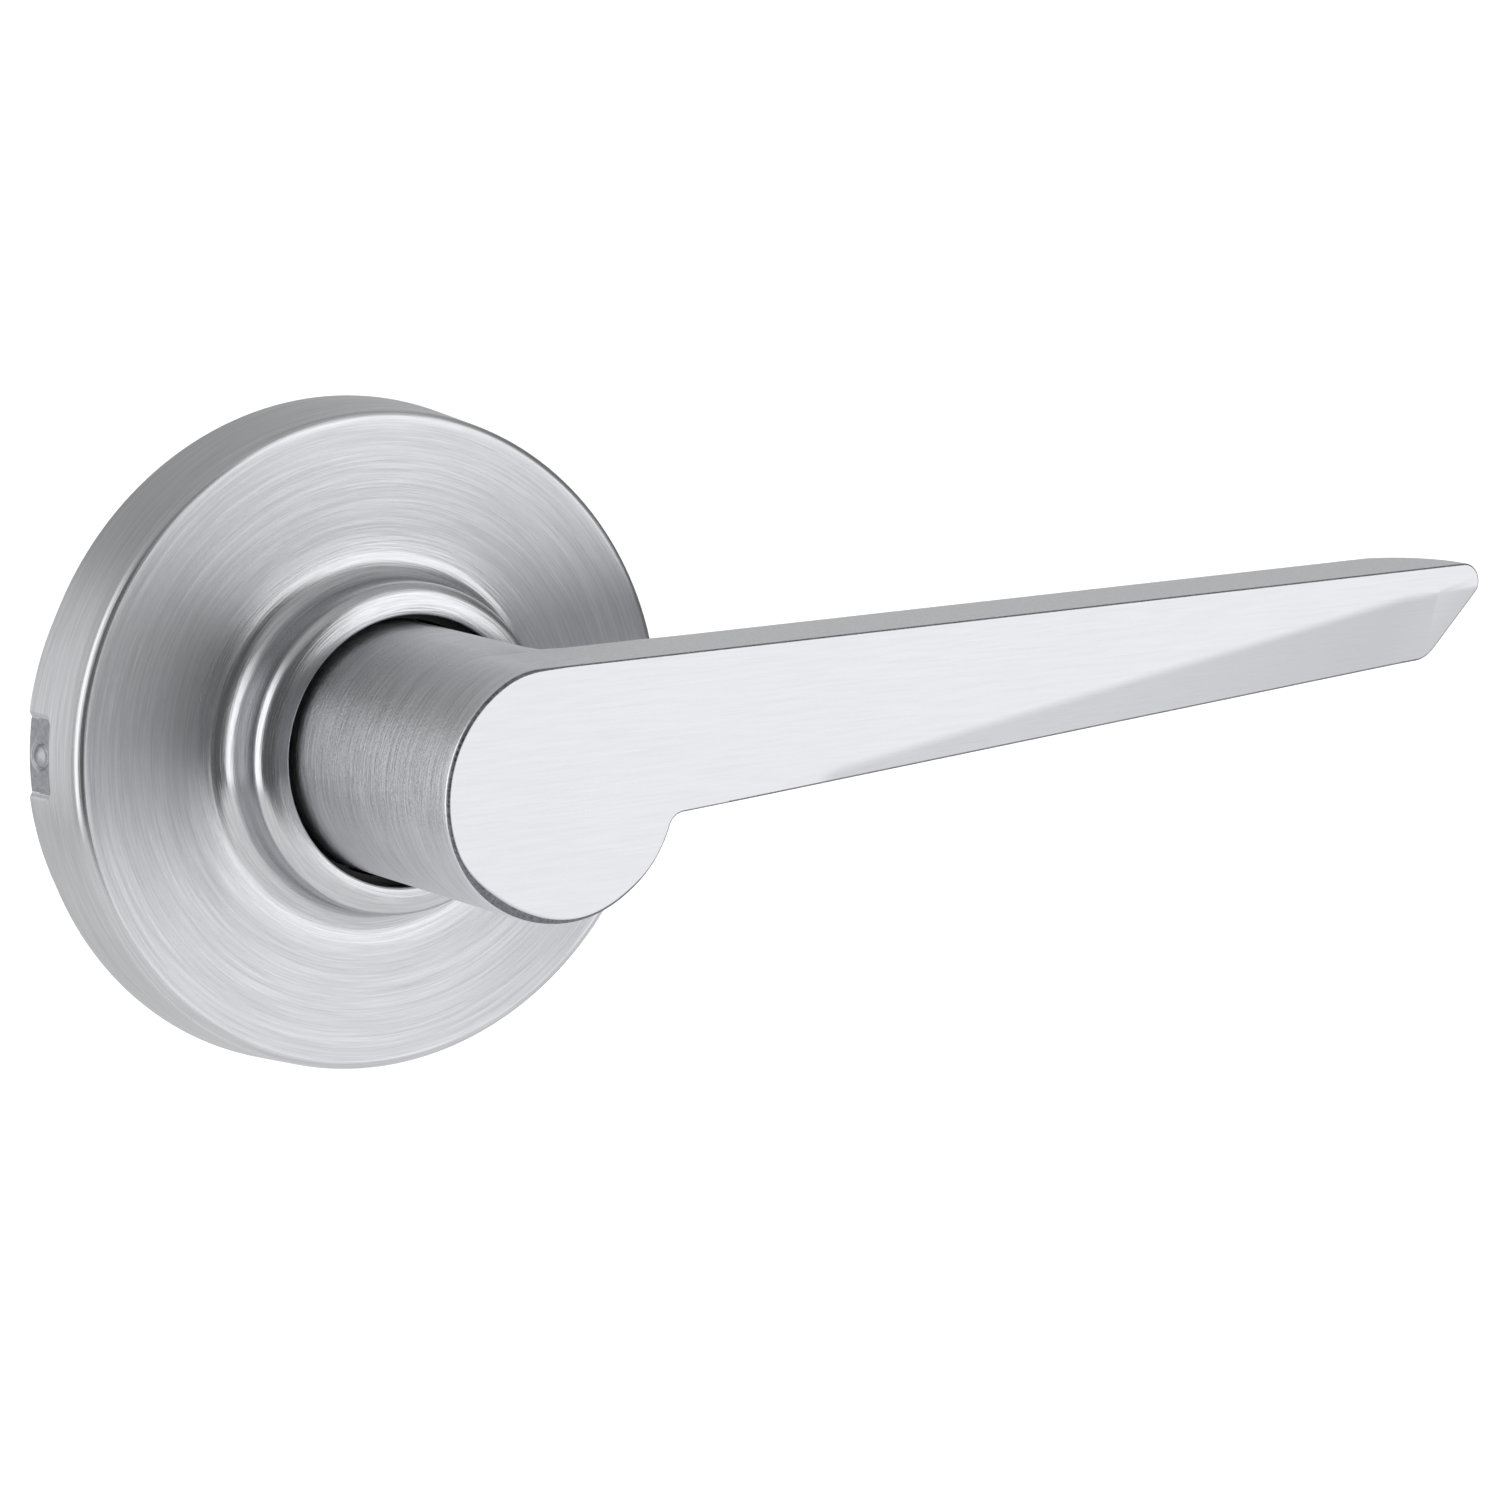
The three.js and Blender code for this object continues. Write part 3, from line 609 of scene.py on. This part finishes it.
def rose_angles():
    """Angles round the rose, close together across the two notches."""
    fine, coarse = math.radians(0.22), math.radians(2.0)
    reach = math.radians(11)
    quarter = [i * fine for i in range(int(reach / fine))]
    left = math.pi / 2 - quarter[-1]
    steps = int(left / coarse)
    quarter += [quarter[-1] + left * i / steps for i in range(1, steps + 1)]
    half = quarter + [math.pi - a for a in reversed(quarter[1:-1])]
    return [a - NOTCH_TURN for a in half + [b + math.pi for b in half]]


class ROSE_OT_build(bpy.types.Operator):
    """Build the stamped rose with its rolled rim, raised boss and prise-off notches"""

    bl_idname = "lever_handle.rose"
    bl_label = "Build rose"

    def execute(self, context):
        rose = context.scene.rose_settings
        bm = turned(rose_profile(rose), rose_angles(), rim_shift(rose))
        piece = mesh_piece("rose_shell", bm, sharp_degrees=40.0)
        paint(piece, turned_satin_chrome())
        piece.data.materials.append(pressed_dull_chrome())
        half = rose.notch_height / MM / 2
        for face in piece.data.polygons:
            x, y, z = face.center / MM
            low = (abs(notch_place(x, z)) < half - NOTCH_EASE
                   and NOTCH_ROLL - NOTCH_REACH < y < -0.01)
            outside = math.hypot(x, z) > EDGE_FALL[1]
            face.material_index = 1 if low and outside else 0
        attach(piece, "rose_side")
        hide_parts("rose_cover")
        return {"FINISHED"}


# ------------------------------------------------------------------ lever


BAR_START = 20.0        # where the hollow behind the bar begins, mm from the spindle axis
BAR_BACK_ROUND = 8.0    # rounding of the tip's back corner, mm
TIP_FROM = 90.0         # where the bar starts to draw in for that rounding, mm
TIP_CENTRE = 103.0      # where that rounding's centre stands, mm
FILLET_R = 1.7          # hollow between the round neck and the bar's lower edge, mm
STRIPS = 40             # upright strips across the bar's front
CREASE_ROWS = (0.5, 0.25, 0.0, -0.25, -0.5)     # rows of points across the crease, mm
CREASE_SOFT = 0.5       # half the width over which the crease bends, mm
THIN_EDGE = 0.22        # rounding of the front edge, mm
BACK_EDGE = 0.25        # chamfer of the bar's back edge, mm


class LeverShape:
    """The lever's outline and depths, in millimetres."""

    def __init__(self, lever):
        self.neck = lever.neck_radius / MM
        self.top = lever.top / MM
        self.front = LEVER_LOW.y / MM
        self.back = self.front + lever.thickness / MM
        self.end = LEVER_HIGH.y / MM
        self.tip = LEVER_HIGH.x / MM
        self.rise = math.tan(math.radians(3.26))            # slope of the lower edge
        self.bottom = -4.0                                  # its height on the spindle axis
        self.crease_rise = math.tan(math.radians(8.3))      # slope of the facet's crease
        self.crease_at = (18.6, -2.9)                       # a point on the crease
        self.facet = math.tan(lever.facet_tilt)
        self.facet_from = 16.0                              # the round front has no facet
        self.level_from = 101.5                             # the crease runs level from here

    def bottom_at(self, x):
        """Height of the lower edge."""
        return self.bottom + self.rise * x

    def crease_z(self, x):
        """Height of the crease."""
        run = min(x, self.level_from) - self.crease_at[0]
        return self.crease_at[1] + self.crease_rise * run

    def depth(self, x, z):
        """How far the front lies behind the flat front, on the facet."""
        if x < self.facet_from:
            return 0.0
        drop = (self.crease_z(x) - z) * math.cos(math.atan(self.crease_rise))
        if drop <= -CREASE_SOFT:
            return 0.0
        if drop >= CREASE_SOFT:
            return drop * self.facet
        return self.facet * (drop + CREASE_SOFT) ** 2 / (4 * CREASE_SOFT)


def corner(a, b, c, radius, steps):
    """Arc that rounds the corner at b between lines from a and to c."""
    a, b, c = Vector(a), Vector(b), Vector(c)
    back, on = (a - b).normalized(), (c - b).normalized()
    half = math.acos(back.dot(on)) / 2
    centre = b + (back + on).normalized() * (radius / math.sin(half))
    reach = radius / math.tan(half)
    u, v = b + back * reach - centre, b + on * reach - centre
    start, turn = math.atan2(u.y, u.x), u.angle_signed(v)
    return [tuple(centre + radius * Vector((math.cos(start - turn * i / steps),
                                            math.sin(start - turn * i / steps))))
            for i in range(steps + 1)]


def disc_fillet(shape, radius, steps):
    """Hollow arc between the round neck and the bar's lower edge, in X and Z."""
    slope = math.atan(shape.rise)
    drop = radius / math.cos(slope) - shape.bottom
    a = 1 + shape.rise ** 2
    b = -2 * shape.rise * drop
    c = drop ** 2 - (shape.neck + radius) ** 2
    x = (-b + math.sqrt(b * b - 4 * a * c)) / (2 * a)
    z = shape.rise * x - drop
    start = math.degrees(math.atan2(-z, -x))
    return arc(x, z, radius, start, math.degrees(slope) + 90, steps)


def near_outline(shape):
    """Outline from the top at BAR_START, round the neck, to the lower edge at BAR_START."""
    leave = 118.0       # where the round neck starts to ease into the bar's flat top
    turn = math.radians(leave)
    on_neck = (shape.neck * math.cos(turn), shape.neck * math.sin(turn))
    reach = (shape.top - on_neck[1]) / -math.cos(turn)
    bend = (on_neck[0] + reach * math.sin(turn), shape.top)
    flat_from = (bend[0] + reach, shape.top)
    points = [(BAR_START, shape.top)] + line((BAR_START, shape.top), flat_from, 8)
    ease_steps = 6
    for i in range(ease_steps + 1):
        t = i / ease_steps
        parts = ((1 - t) ** 2, 2 * t * (1 - t), t * t)
        points.append(tuple(sum(w * p[k] for w, p in zip(parts, (flat_from, bend, on_neck)))
                            for k in (0, 1)))
    fillet = disc_fillet(shape, FILLET_R, 8)
    finish = math.degrees(math.atan2(fillet[0][1], fillet[0][0])) + 360
    points += arc(0, 0, shape.neck, leave + 2, finish, 110)
    points += fillet[1:]
    points += line(fillet[-1], (BAR_START, shape.bottom_at(BAR_START)), 4)
    points += [(BAR_START, shape.bottom_at(BAR_START))]
    return points


def far_outline(shape):
    """Outline from the lower edge at BAR_START, round the tip, back to the top."""
    lean = math.tan(math.radians(33.4))     # the tip's end leans out towards its top
    past = 1.7                              # its sharp corner's distance past the rounded tip
    under_r, over_r = 2.6, 2.0              # rounding of its lower and upper corners
    high = (shape.tip + past, shape.top)
    low_x = (high[0] - lean * (shape.top - shape.bottom)) / (1 - lean * shape.rise)
    low = (low_x, shape.bottom_at(low_x))
    start = (BAR_START, shape.bottom_at(BAR_START))
    under = corner(start, low, high, under_r, 8)
    over = corner(low, high, (0.0, shape.top), over_r, 10)
    points = line(start, under[0], STRIPS) + under
    points += line(under[-1], over[0], 6) + over
    points += line(over[-1], (BAR_START, shape.top), STRIPS)
    return points


class LEVER_OT_build(bpy.types.Operator):
    """Build the cast lever: round neck, hollow shoulder, flat bar and its lower front facet"""

    bl_idname = "lever_handle.lever"
    bl_label = "Build lever"

    def execute(self, context):
        shape = LeverShape(context.scene.lever_settings)
        bm = bmesh.new()
        lever_body(bm, shape)
        piece = mesh_piece("lever_casting", bm, sharp_degrees=35.0)
        even_normals(piece)
        paint(piece, hand_brushed_chrome())
        piece.data.materials.append(belt_brushed_chrome())
        # the third finish, on the rounded front edge, is coloured darker: a painted dark
        # reflection
        piece.data.materials.append(edge_chrome_painted_reflection())
        for face in piece.data.polygons:
            face.material_index = lever_finish(shape, face)
        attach(piece, "handle")
        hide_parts("lever")
        return {"FINISHED"}


def lever_finish(shape, face):
    """Which of the lever's three finishes a face has: sides, brushed front, or the front edge with
    its painted dark reflection.
    """
    sides, brushed, edge = 0, 1, 2
    facing = face.normal.y
    x, y, z = face.center / MM
    behind = y - shape.front - shape.depth(x, z)
    # the facet leans back as far as parts of the rounded edge, whose faces are small
    if facing < -0.97 or (facing < -0.85 and face.area > 0.3 * MM * MM):
        return brushed
    if facing > 0.9 and x > BAR_START:
        return brushed
    if y > shape.back or behind > 0.75 or facing > -0.5:
        return sides
    # the rounded front edge, coloured darker as a painted reflection
    return edge


def edge_round(shape, x, z):
    """Rounding of the front edge at a point of the outline: wider round the neck, and widest
    at its lower left, where the edge was dressed by hand."""
    turn = math.degrees(math.atan2(z, x)) % 360
    wide = THIN_EDGE + 0.25 * step(85, 110, turn) * (1 - step(300, 325, turn))
    dressed = 0.75 * step(200, 235, turn) * (1 - step(240, 285, turn))
    return wide + dressed


def inward(points):
    """Inward direction at each point of a closed outline."""
    count = len(points)
    out = []
    for i in range(count):
        a, b = Vector(points[i - 1]), Vector(points[(i + 1) % count])
        along = (b - a).normalized()
        out.append(Vector((-along.y, along.x)))
    area = sum(points[i - 1][0] * points[i][1] - points[i][0] * points[i - 1][1]
               for i in range(count))
    return out if area > 0 else [-n for n in out]


def lever_body(bm, shape):
    """The whole lever: the rounded front edge and the sides, then the front and the back."""
    near, far = near_outline(shape), far_outline(shape)
    outline = near + far
    ins = inward(outline)
    rings = []
    # rounded front edge, from the face outwards
    edge_steps = 6
    for k in range(edge_steps + 1):
        a = math.radians(90 * k / edge_steps)
        ring = []
        for (x, z), n in zip(outline, ins):
            e = edge_round(shape, x, z)
            px = x + n.x * e * (1 - math.sin(a))
            pz = z + n.y * e * (1 - math.sin(a))
            ring.append((px, shape.front + shape.depth(px, pz) + e * (1 - math.cos(a)), pz))
        rings.append(ring)
    # sides of the bar, drawn in at the tip's back corner
    levels = 14
    for k in range(1, levels + 1):
        ring = []
        for x, z in outline:
            y0 = shape.front + shape.depth(x, z) + edge_round(shape, x, z)
            y = y0 + (shape.back - BACK_EDGE - y0) * k / levels
            ring.append((tip_x(shape, x, y), y, z))
        rings.append(ring)
    # the back edge, which has no chamfer round the neck
    last = []
    for (x, z), n in zip(outline, ins):
        inset = BACK_EDGE * step(BAR_START - 4, BAR_START + 2, x)
        last.append((tip_x(shape, x, shape.back) + n.x * inset, shape.back, z + n.y * inset))
    rings.append(last)
    made = stack(bm, rings)
    front_face(bm, shape, made[0], len(near))
    neck_body(bm, shape, made[-1], len(near))


def tip_x(shape, x, y):
    """Draws x in towards the neck behind the rounded back corner of the tip."""
    centre_y = shape.back - BAR_BACK_ROUND
    if y <= centre_y or x < TIP_FROM:
        return x
    end = TIP_CENTRE + math.sqrt(max(BAR_BACK_ROUND ** 2 - (y - centre_y) ** 2, 0.0))
    full = TIP_CENTRE + BAR_BACK_ROUND
    return TIP_FROM + (x - TIP_FROM) * (end - TIP_FROM) / (full - TIP_FROM)


def front_face(bm, shape, edge, near_count):
    """Closes the front. Upright strips run between the bar's lower and upper edge points, so
    each strip bends only at the crease. The round front and the tip are single faces."""
    first_low = near_count - 1
    tip_from = first_low + STRIPS + 1
    tip_to = len(edge) - STRIPS + 1
    lower = edge[first_low:tip_from]
    upper = [edge[0]] + list(reversed(edge[tip_to:]))
    tip = edge[tip_from:tip_to]
    columns = []
    for low, high in zip(lower, upper):
        column = [high]
        for off in CREASE_ROWS:
            t = crease_share(shape, low.co, high.co, off)
            if t is None:
                continue
            x = high.co.x + (low.co.x - high.co.x) * t
            z = high.co.z + (low.co.z - high.co.z) * t
            column.append(bm.verts.new((x, shape.front + shape.depth(x, z), z)))
        column.append(low)
        columns.append(column)
    for a, b in zip(columns, columns[1:]):
        if len(a) == len(b):
            for i in range(len(a) - 1):
                bm.faces.new((a[i], a[i + 1], b[i + 1], b[i]))
        else:
            bm.faces.new(a + list(reversed(b)))
    bm.faces.new(edge[:near_count] + list(reversed(columns[0][1:-1])))
    # the tip: the facet's end below the crease and the flat face's end above it
    below = [v for v in tip if shape.depth(v.co.x, v.co.z) > 0]
    above = tip[len(below) - 1:]
    last = list(reversed(columns[-1]))
    middle = len(last) // 2
    bm.faces.new(last[:1] + below + last[middle:0:-1])
    bm.faces.new(above + last[:middle - 1:-1])


def crease_share(shape, low, high, off):
    """Where the line from high to low meets the crease, moved by off, as a share of its length."""
    slope = math.cos(math.atan(shape.crease_rise))

    def side(p):
        return (shape.crease_z(p.x) - p.z) * slope + off

    a, b = side(high), side(low)
    if a * b >= 0:
        return None
    t = a / (a - b)
    return t if 0.002 < t < 0.998 else None


def neck_body(bm, shape, ring, near_count):
    """The back of the bar, the hollow shoulder behind it, the neck and its blind bore."""
    chamfer = 0.3       # at the neck's back end
    bore_r = 9.3
    bore_end = -26.6    # y of the bottom of the bore
    wall_steps, shoulder_steps, neck_steps = 14, 16, 8
    near = ring[:near_count]
    top, low = near[0], near[-1]
    wall = [bm.verts.new((top.co.x + (low.co.x - top.co.x) * i / wall_steps, shape.back,
                          top.co.z + (low.co.z - top.co.z) * i / wall_steps))
            for i in range(1, wall_steps)]
    bm.faces.new([low] + ring[near_count:] + [top] + wall)
    loop = near + list(reversed(wall))
    base = [(v.co.x, v.co.z) for v in loop]
    shoulder = BAR_START - shape.neck
    levels = []
    for k in range(1, shoulder_steps + 1):
        rise = math.sin(math.radians(90 * k / shoulder_steps))
        share = 1 - math.cos(math.asin(1 - rise))
        levels.append((shape.neck, share, shape.back + shoulder * rise))
    neck_from = shape.back + shoulder
    for i in range(1, neck_steps + 1):
        y = neck_from + (shape.end - chamfer - neck_from) * i / neck_steps
        levels.append((shape.neck, 0.0, y))
    levels.append((shape.neck - chamfer, 0.0, shape.end))
    levels.append((bore_r, 0.0, shape.end))
    levels.append((bore_r, 0.0, bore_end))
    made = [loop]
    for radius, share, y in levels:
        made.append([bm.verts.new(polar(x, z, radius, share, y)) for x, z in base])
    join(bm, made)
    bm.faces.new(made[-1])


def polar(x, z, radius, share, y):
    """The point in the direction of x, z whose distance lies between the neck and x, z."""
    reach = math.hypot(x, z)
    r = radius + (reach - radius) * share
    return (x / reach * r, y, z / reach * r)


# ------------------------------------------------------------------ fixings


NODE_FINISH = {
    bright_zinc_plate: ("mounting_plate", "housing_cover", "housing_screw_1", "housing_screw_2",
                        "housing_screw_3", "housing_screw_4", "drive_hub", "spindle",
                        "lever_catch"),
    drawn_spring_steel: ("return_spring", "spindle_pin", "retaining_ring", "wave_washer",
                         "catch_spring"),
    moulded_black_nylon: ("neck_bush", "thrust_washer"),
}


def housing_profile():
    """Closed outline of the die-cast housing: cup, flange and sleeve, as (radius, y) in mm."""
    end, lip = HOUSING_LOW.y / MM, HOUSING_HIGH.y / MM
    flange, flange_back, flange_front = HOUSING_HIGH.x / MM, -1.9, -3.3
    cup, bore, rebate = 15.0, 13.3, 14.2            # radii of the cup and of its two steps
    sleeve_out, sleeve_in = 15.2, 14.0              # radii of the sleeve inside the boss
    floor_front, floor_back = -7.2, -6.0            # the cup's floor round the hub
    soft, fillet, gap = 0.3, 0.6, 0.3               # roundings, and clearance to the hub
    cover = COVER_LOW.y / MM - gap
    hub = HUB_HIGH.x / MM + gap
    return [
        *arc(cup - soft, lip - soft, soft, 90, 0, 4),
        (cup, flange_back),
        (flange, flange_back),
        *arc(flange - soft, flange_front + soft, soft, 0, -90, 4),
        *arc(sleeve_out + fillet, flange_front - fillet, fillet, 90, 180, 4),
        (sleeve_out, end),
        (sleeve_in, end),
        (sleeve_in, floor_front),
        (hub, floor_front),
        (hub, floor_back),
        (bore, floor_back),
        (bore, cover),
        (rebate, cover),
        (rebate, lip - 0.4),
        (rebate + 0.2, lip),
    ]


def post_profile():
    """Outline of a threaded post from its riveted head to the bottom of its threaded hole."""
    head, end = POST_LOW.y / MM, POST_HIGH.y / MM
    head_r, rivet_r, post_r, hole_r = 3.4, 2.2, 3.5, 2.1
    head_back = head + 1.2
    hole_end = 3.0
    return [
        *arc(head_r - 0.4, head + 0.4, 0.4, -90, 0, 5),
        (head_r, head_back),
        (rivet_r, head_back),
        (rivet_r, 0.3),
        *arc(post_r - 0.3, 0.6, 0.3, -90, 0, 4),
        *arc(post_r - 0.4, end - 0.4, 0.4, 0, 90, 5),
        (hole_r + 0.2, end),
        (hole_r, end - 0.3),
        (hole_r, hole_end),
    ]


def fixing(node, bm, material):
    """Puts a finer piece in a node's place and gives it its finish."""
    piece = mesh_piece(node + "_turned", bm, sharp_degrees=30.0)
    even_normals(piece)
    paint(piece, material)
    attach(piece, "rose_side")
    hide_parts(node)


class FIXINGS_OT_build(bpy.types.Operator):
    """Give the pieces inside the rose and behind it their finishes"""

    bl_idname = "lever_handle.fixings"
    bl_label = "Finish fixings"

    def execute(self, context):
        made = {maker: maker() for maker in (bare_die_cast_zinc, *NODE_FINISH)}
        for maker, names in NODE_FINISH.items():
            for name in names:
                paint(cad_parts[name], made[maker])
        housing = turned(housing_profile(), even_angles(144))
        fixing("spring_housing", housing, made[bare_die_cast_zinc])
        for node, low in (("post_left", -POST_HIGH.x / MM), ("post_right", POST_LOW.x / MM)):
            middle = low + (POST_HIGH.x - POST_LOW.x) / MM / 2
            post = turned(post_profile(), even_angles(64), capped=True)
            bmesh.ops.translate(post, verts=post.verts, vec=(middle, 0.0, 0.0))
            fixing(node, post, made[bright_zinc_plate])
        return {"FINISHED"}


# ------------------------------------------------------------------ stage


FLOOR_R = 40000.0            # radius of the round floor, mm
FLOOR_Z = -500.0             # its height, mm
SUN_STRENGTH = 2.1           # irradiance, W/m2
SUN_SPREAD = 60.0            # angular diameter, degrees


def soft_sun(name, strength, spread_degrees):
    """A wide soft light from overhead that lifts the floor to the backdrop's white. The metal
    doesn't mirror it."""
    data = bpy.data.lights.new(name, "SUN")
    data.energy = strength
    data.angle = math.radians(spread_degrees)
    lamp = bpy.data.objects.new(name, data)
    lamp.visible_glossy = False
    bpy.context.scene.collection.objects.link(lamp)


# the room that the metal mirrors: (heading, radiance) pairs, headings in degrees from straight
# in front of the rose towards +X
ROOM = (
    (-180, 0.44),
    (-134, 0.44),
    (-120, 1.8),
    (-70, 1.8),
    (-52, 0.14),
    (4, 0.14),
    (20, 1.62),
    (46, 1.62),
    (66, 0.2),
    (112, 0.2),
    (138, 0.66),
    (180, 0.5),
)
RAMP_TOP = 2.0               # radiance that the ramp's white stands for
CEILING = 0.52               # radiance overhead
GROUND = 0.95                # radiance of the pale ground below
CEILING_BLEND = (0.42, 0.8)  # sine of the height at which the walls fade into the ceiling
GROUND_BLEND = (-0.26, -0.44)   # and into the ground


def blend_by_height(tree, height, blend, value, far):
    """A value that gives way to the constant far between two heights."""
    share = add_node(tree, "ShaderNodeMapRange", {"Value": height},
                     interpolation_type="SMOOTHSTEP")
    share.inputs["From Min"].default_value = blend[0]
    share.inputs["From Max"].default_value = blend[1]
    mix = add_node(tree, "ShaderNodeMix", {"Factor": share.outputs[0], 2: value})
    mix.inputs[3].default_value = far
    return mix.outputs[0]


def room_light(tree):
    """Radiance of the room by direction: upright panels and dim walls under an even ceiling."""
    heading = add_node(tree, "ShaderNodeTexCoord")
    part = add_node(tree, "ShaderNodeSeparateXYZ", {0: heading.outputs["Generated"]})
    front = times(tree, part.outputs["Y"], -1.0)
    angle = add_node(tree, "ShaderNodeMath", {0: part.outputs["X"], 1: front},
                     operation="ARCTAN2")
    share = add_node(tree, "ShaderNodeMapRange", {"Value": angle.outputs[0]})
    share.inputs["From Min"].default_value = -math.pi
    share.inputs["From Max"].default_value = math.pi
    ramp = add_node(tree, "ShaderNodeValToRGB", {"Fac": share.outputs[0]})
    stops = ramp.color_ramp.elements
    while len(stops) < len(ROOM):
        stops.new(0.5)
    for stop, (degrees, radiance) in zip(stops, ROOM):
        stop.position = (degrees + 180) / 360
        stop.color = (radiance / RAMP_TOP,) * 3 + (1.0,)
    walls = times(tree, ramp.outputs["Color"], RAMP_TOP)
    upper = blend_by_height(tree, part.outputs["Z"], CEILING_BLEND, walls, CEILING)
    return blend_by_height(tree, part.outputs["Z"], GROUND_BLEND, upper, GROUND)


def studio_world():
    """A plain white backdrop for the camera, and the studio room for every other ray."""
    world = bpy.data.worlds.new("studio")
    world.use_nodes = True
    tree = world.node_tree
    tree.nodes.clear()
    path = add_node(tree, "ShaderNodeLightPath")
    paper = add_node(tree, "ShaderNodeBackground")
    room = add_node(tree, "ShaderNodeBackground", {"Strength": room_light(tree)})
    for background in (paper, room):
        background.inputs["Color"].default_value = (1.0, 1.0, 1.0, 1.0)
    mixed = add_node(tree, "ShaderNodeMixShader", {
        0: path.outputs["Is Camera Ray"], 1: room.outputs[0], 2: paper.outputs[0]})
    add_node(tree, "ShaderNodeOutputWorld", {"Surface": mixed.outputs[0]})
    bpy.context.scene.world = world


class STAGE_OT_build(bpy.types.Operator):
    """Set the pale floor, the soft studio lights and the camera"""

    bl_idname = "lever_handle.stage"
    bl_label = "Set stage"

    def execute(self, context):
        stage = context.scene.stage_settings
        bm = bmesh.new()
        bm.faces.new([bm.verts.new((FLOOR_R * math.cos(a), FLOOR_R * math.sin(a), FLOOR_Z))
                      for a in even_angles(96)])
        floor = mesh_piece("floor", bm)
        paint(floor, new_material("matt_floor_paint", stage.floor, 0.0, 0.8)[0])
        floor.visible_glossy = False
        studio_world()
        soft_sun("over", SUN_STRENGTH, SUN_SPREAD)
        camera = bpy.data.cameras.new("camera")
        camera.lens = stage.lens
        camera.sensor_width = 36.0
        eye = bpy.data.objects.new("camera", camera)
        a, e = stage.azimuth, stage.elevation
        back = Vector((math.sin(a) * math.cos(e), -math.cos(a) * math.cos(e), math.sin(e)))
        eye.location = stage.eye
        eye.rotation_mode = "QUATERNION"
        look = (-back).to_track_quat("-Z", "Y")
        roll = Quaternion((0, 0, 1), stage.roll)
        eye.rotation_quaternion = look @ roll
        context.scene.collection.objects.link(eye)
        context.scene.camera = eye
        context.scene.view_settings.view_transform = "Standard"
        return {"FINISHED"}


class HANDLE_PT_panel(bpy.types.Panel):
    """Lists the steps that build the handle"""

    bl_idname = "HANDLE_PT_panel"
    bl_label = "Door lever handle"
    bl_space_type = "VIEW_3D"
    bl_region_type = "UI"
    bl_category = "Lever handle"

    def draw(self, context):
        for operator in (ROSE_OT_build, LEVER_OT_build, FIXINGS_OT_build, STAGE_OT_build):
            self.layout.operator(operator.bl_idname)


CLASSES = (RoseSettings, LeverSettings, FinishSettings, StageSettings, ROSE_OT_build,
           LEVER_OT_build, FIXINGS_OT_build, STAGE_OT_build, HANDLE_PT_panel)


def register():
    """Adds the settings, the operators and the panel."""
    for cls in CLASSES:
        bpy.utils.register_class(cls)
    scene = bpy.types.Scene
    scene.rose_settings = bpy.props.PointerProperty(type=RoseSettings)
    scene.lever_settings = bpy.props.PointerProperty(type=LeverSettings)
    scene.finish_settings = bpy.props.PointerProperty(type=FinishSettings)
    scene.stage_settings = bpy.props.PointerProperty(type=StageSettings)


def unregister():
    """Takes them away again."""
    scene = bpy.types.Scene
    del scene.stage_settings
    del scene.finish_settings
    del scene.lever_settings
    del scene.rose_settings
    for cls in reversed(CLASSES):
        bpy.utils.unregister_class(cls)


def main():
    """Builds everything."""
    register()
    bpy.ops.lever_handle.rose()
    bpy.ops.lever_handle.lever()
    bpy.ops.lever_handle.fixings()
    bpy.ops.lever_handle.stage()


if __name__ == "__main__":
    main()
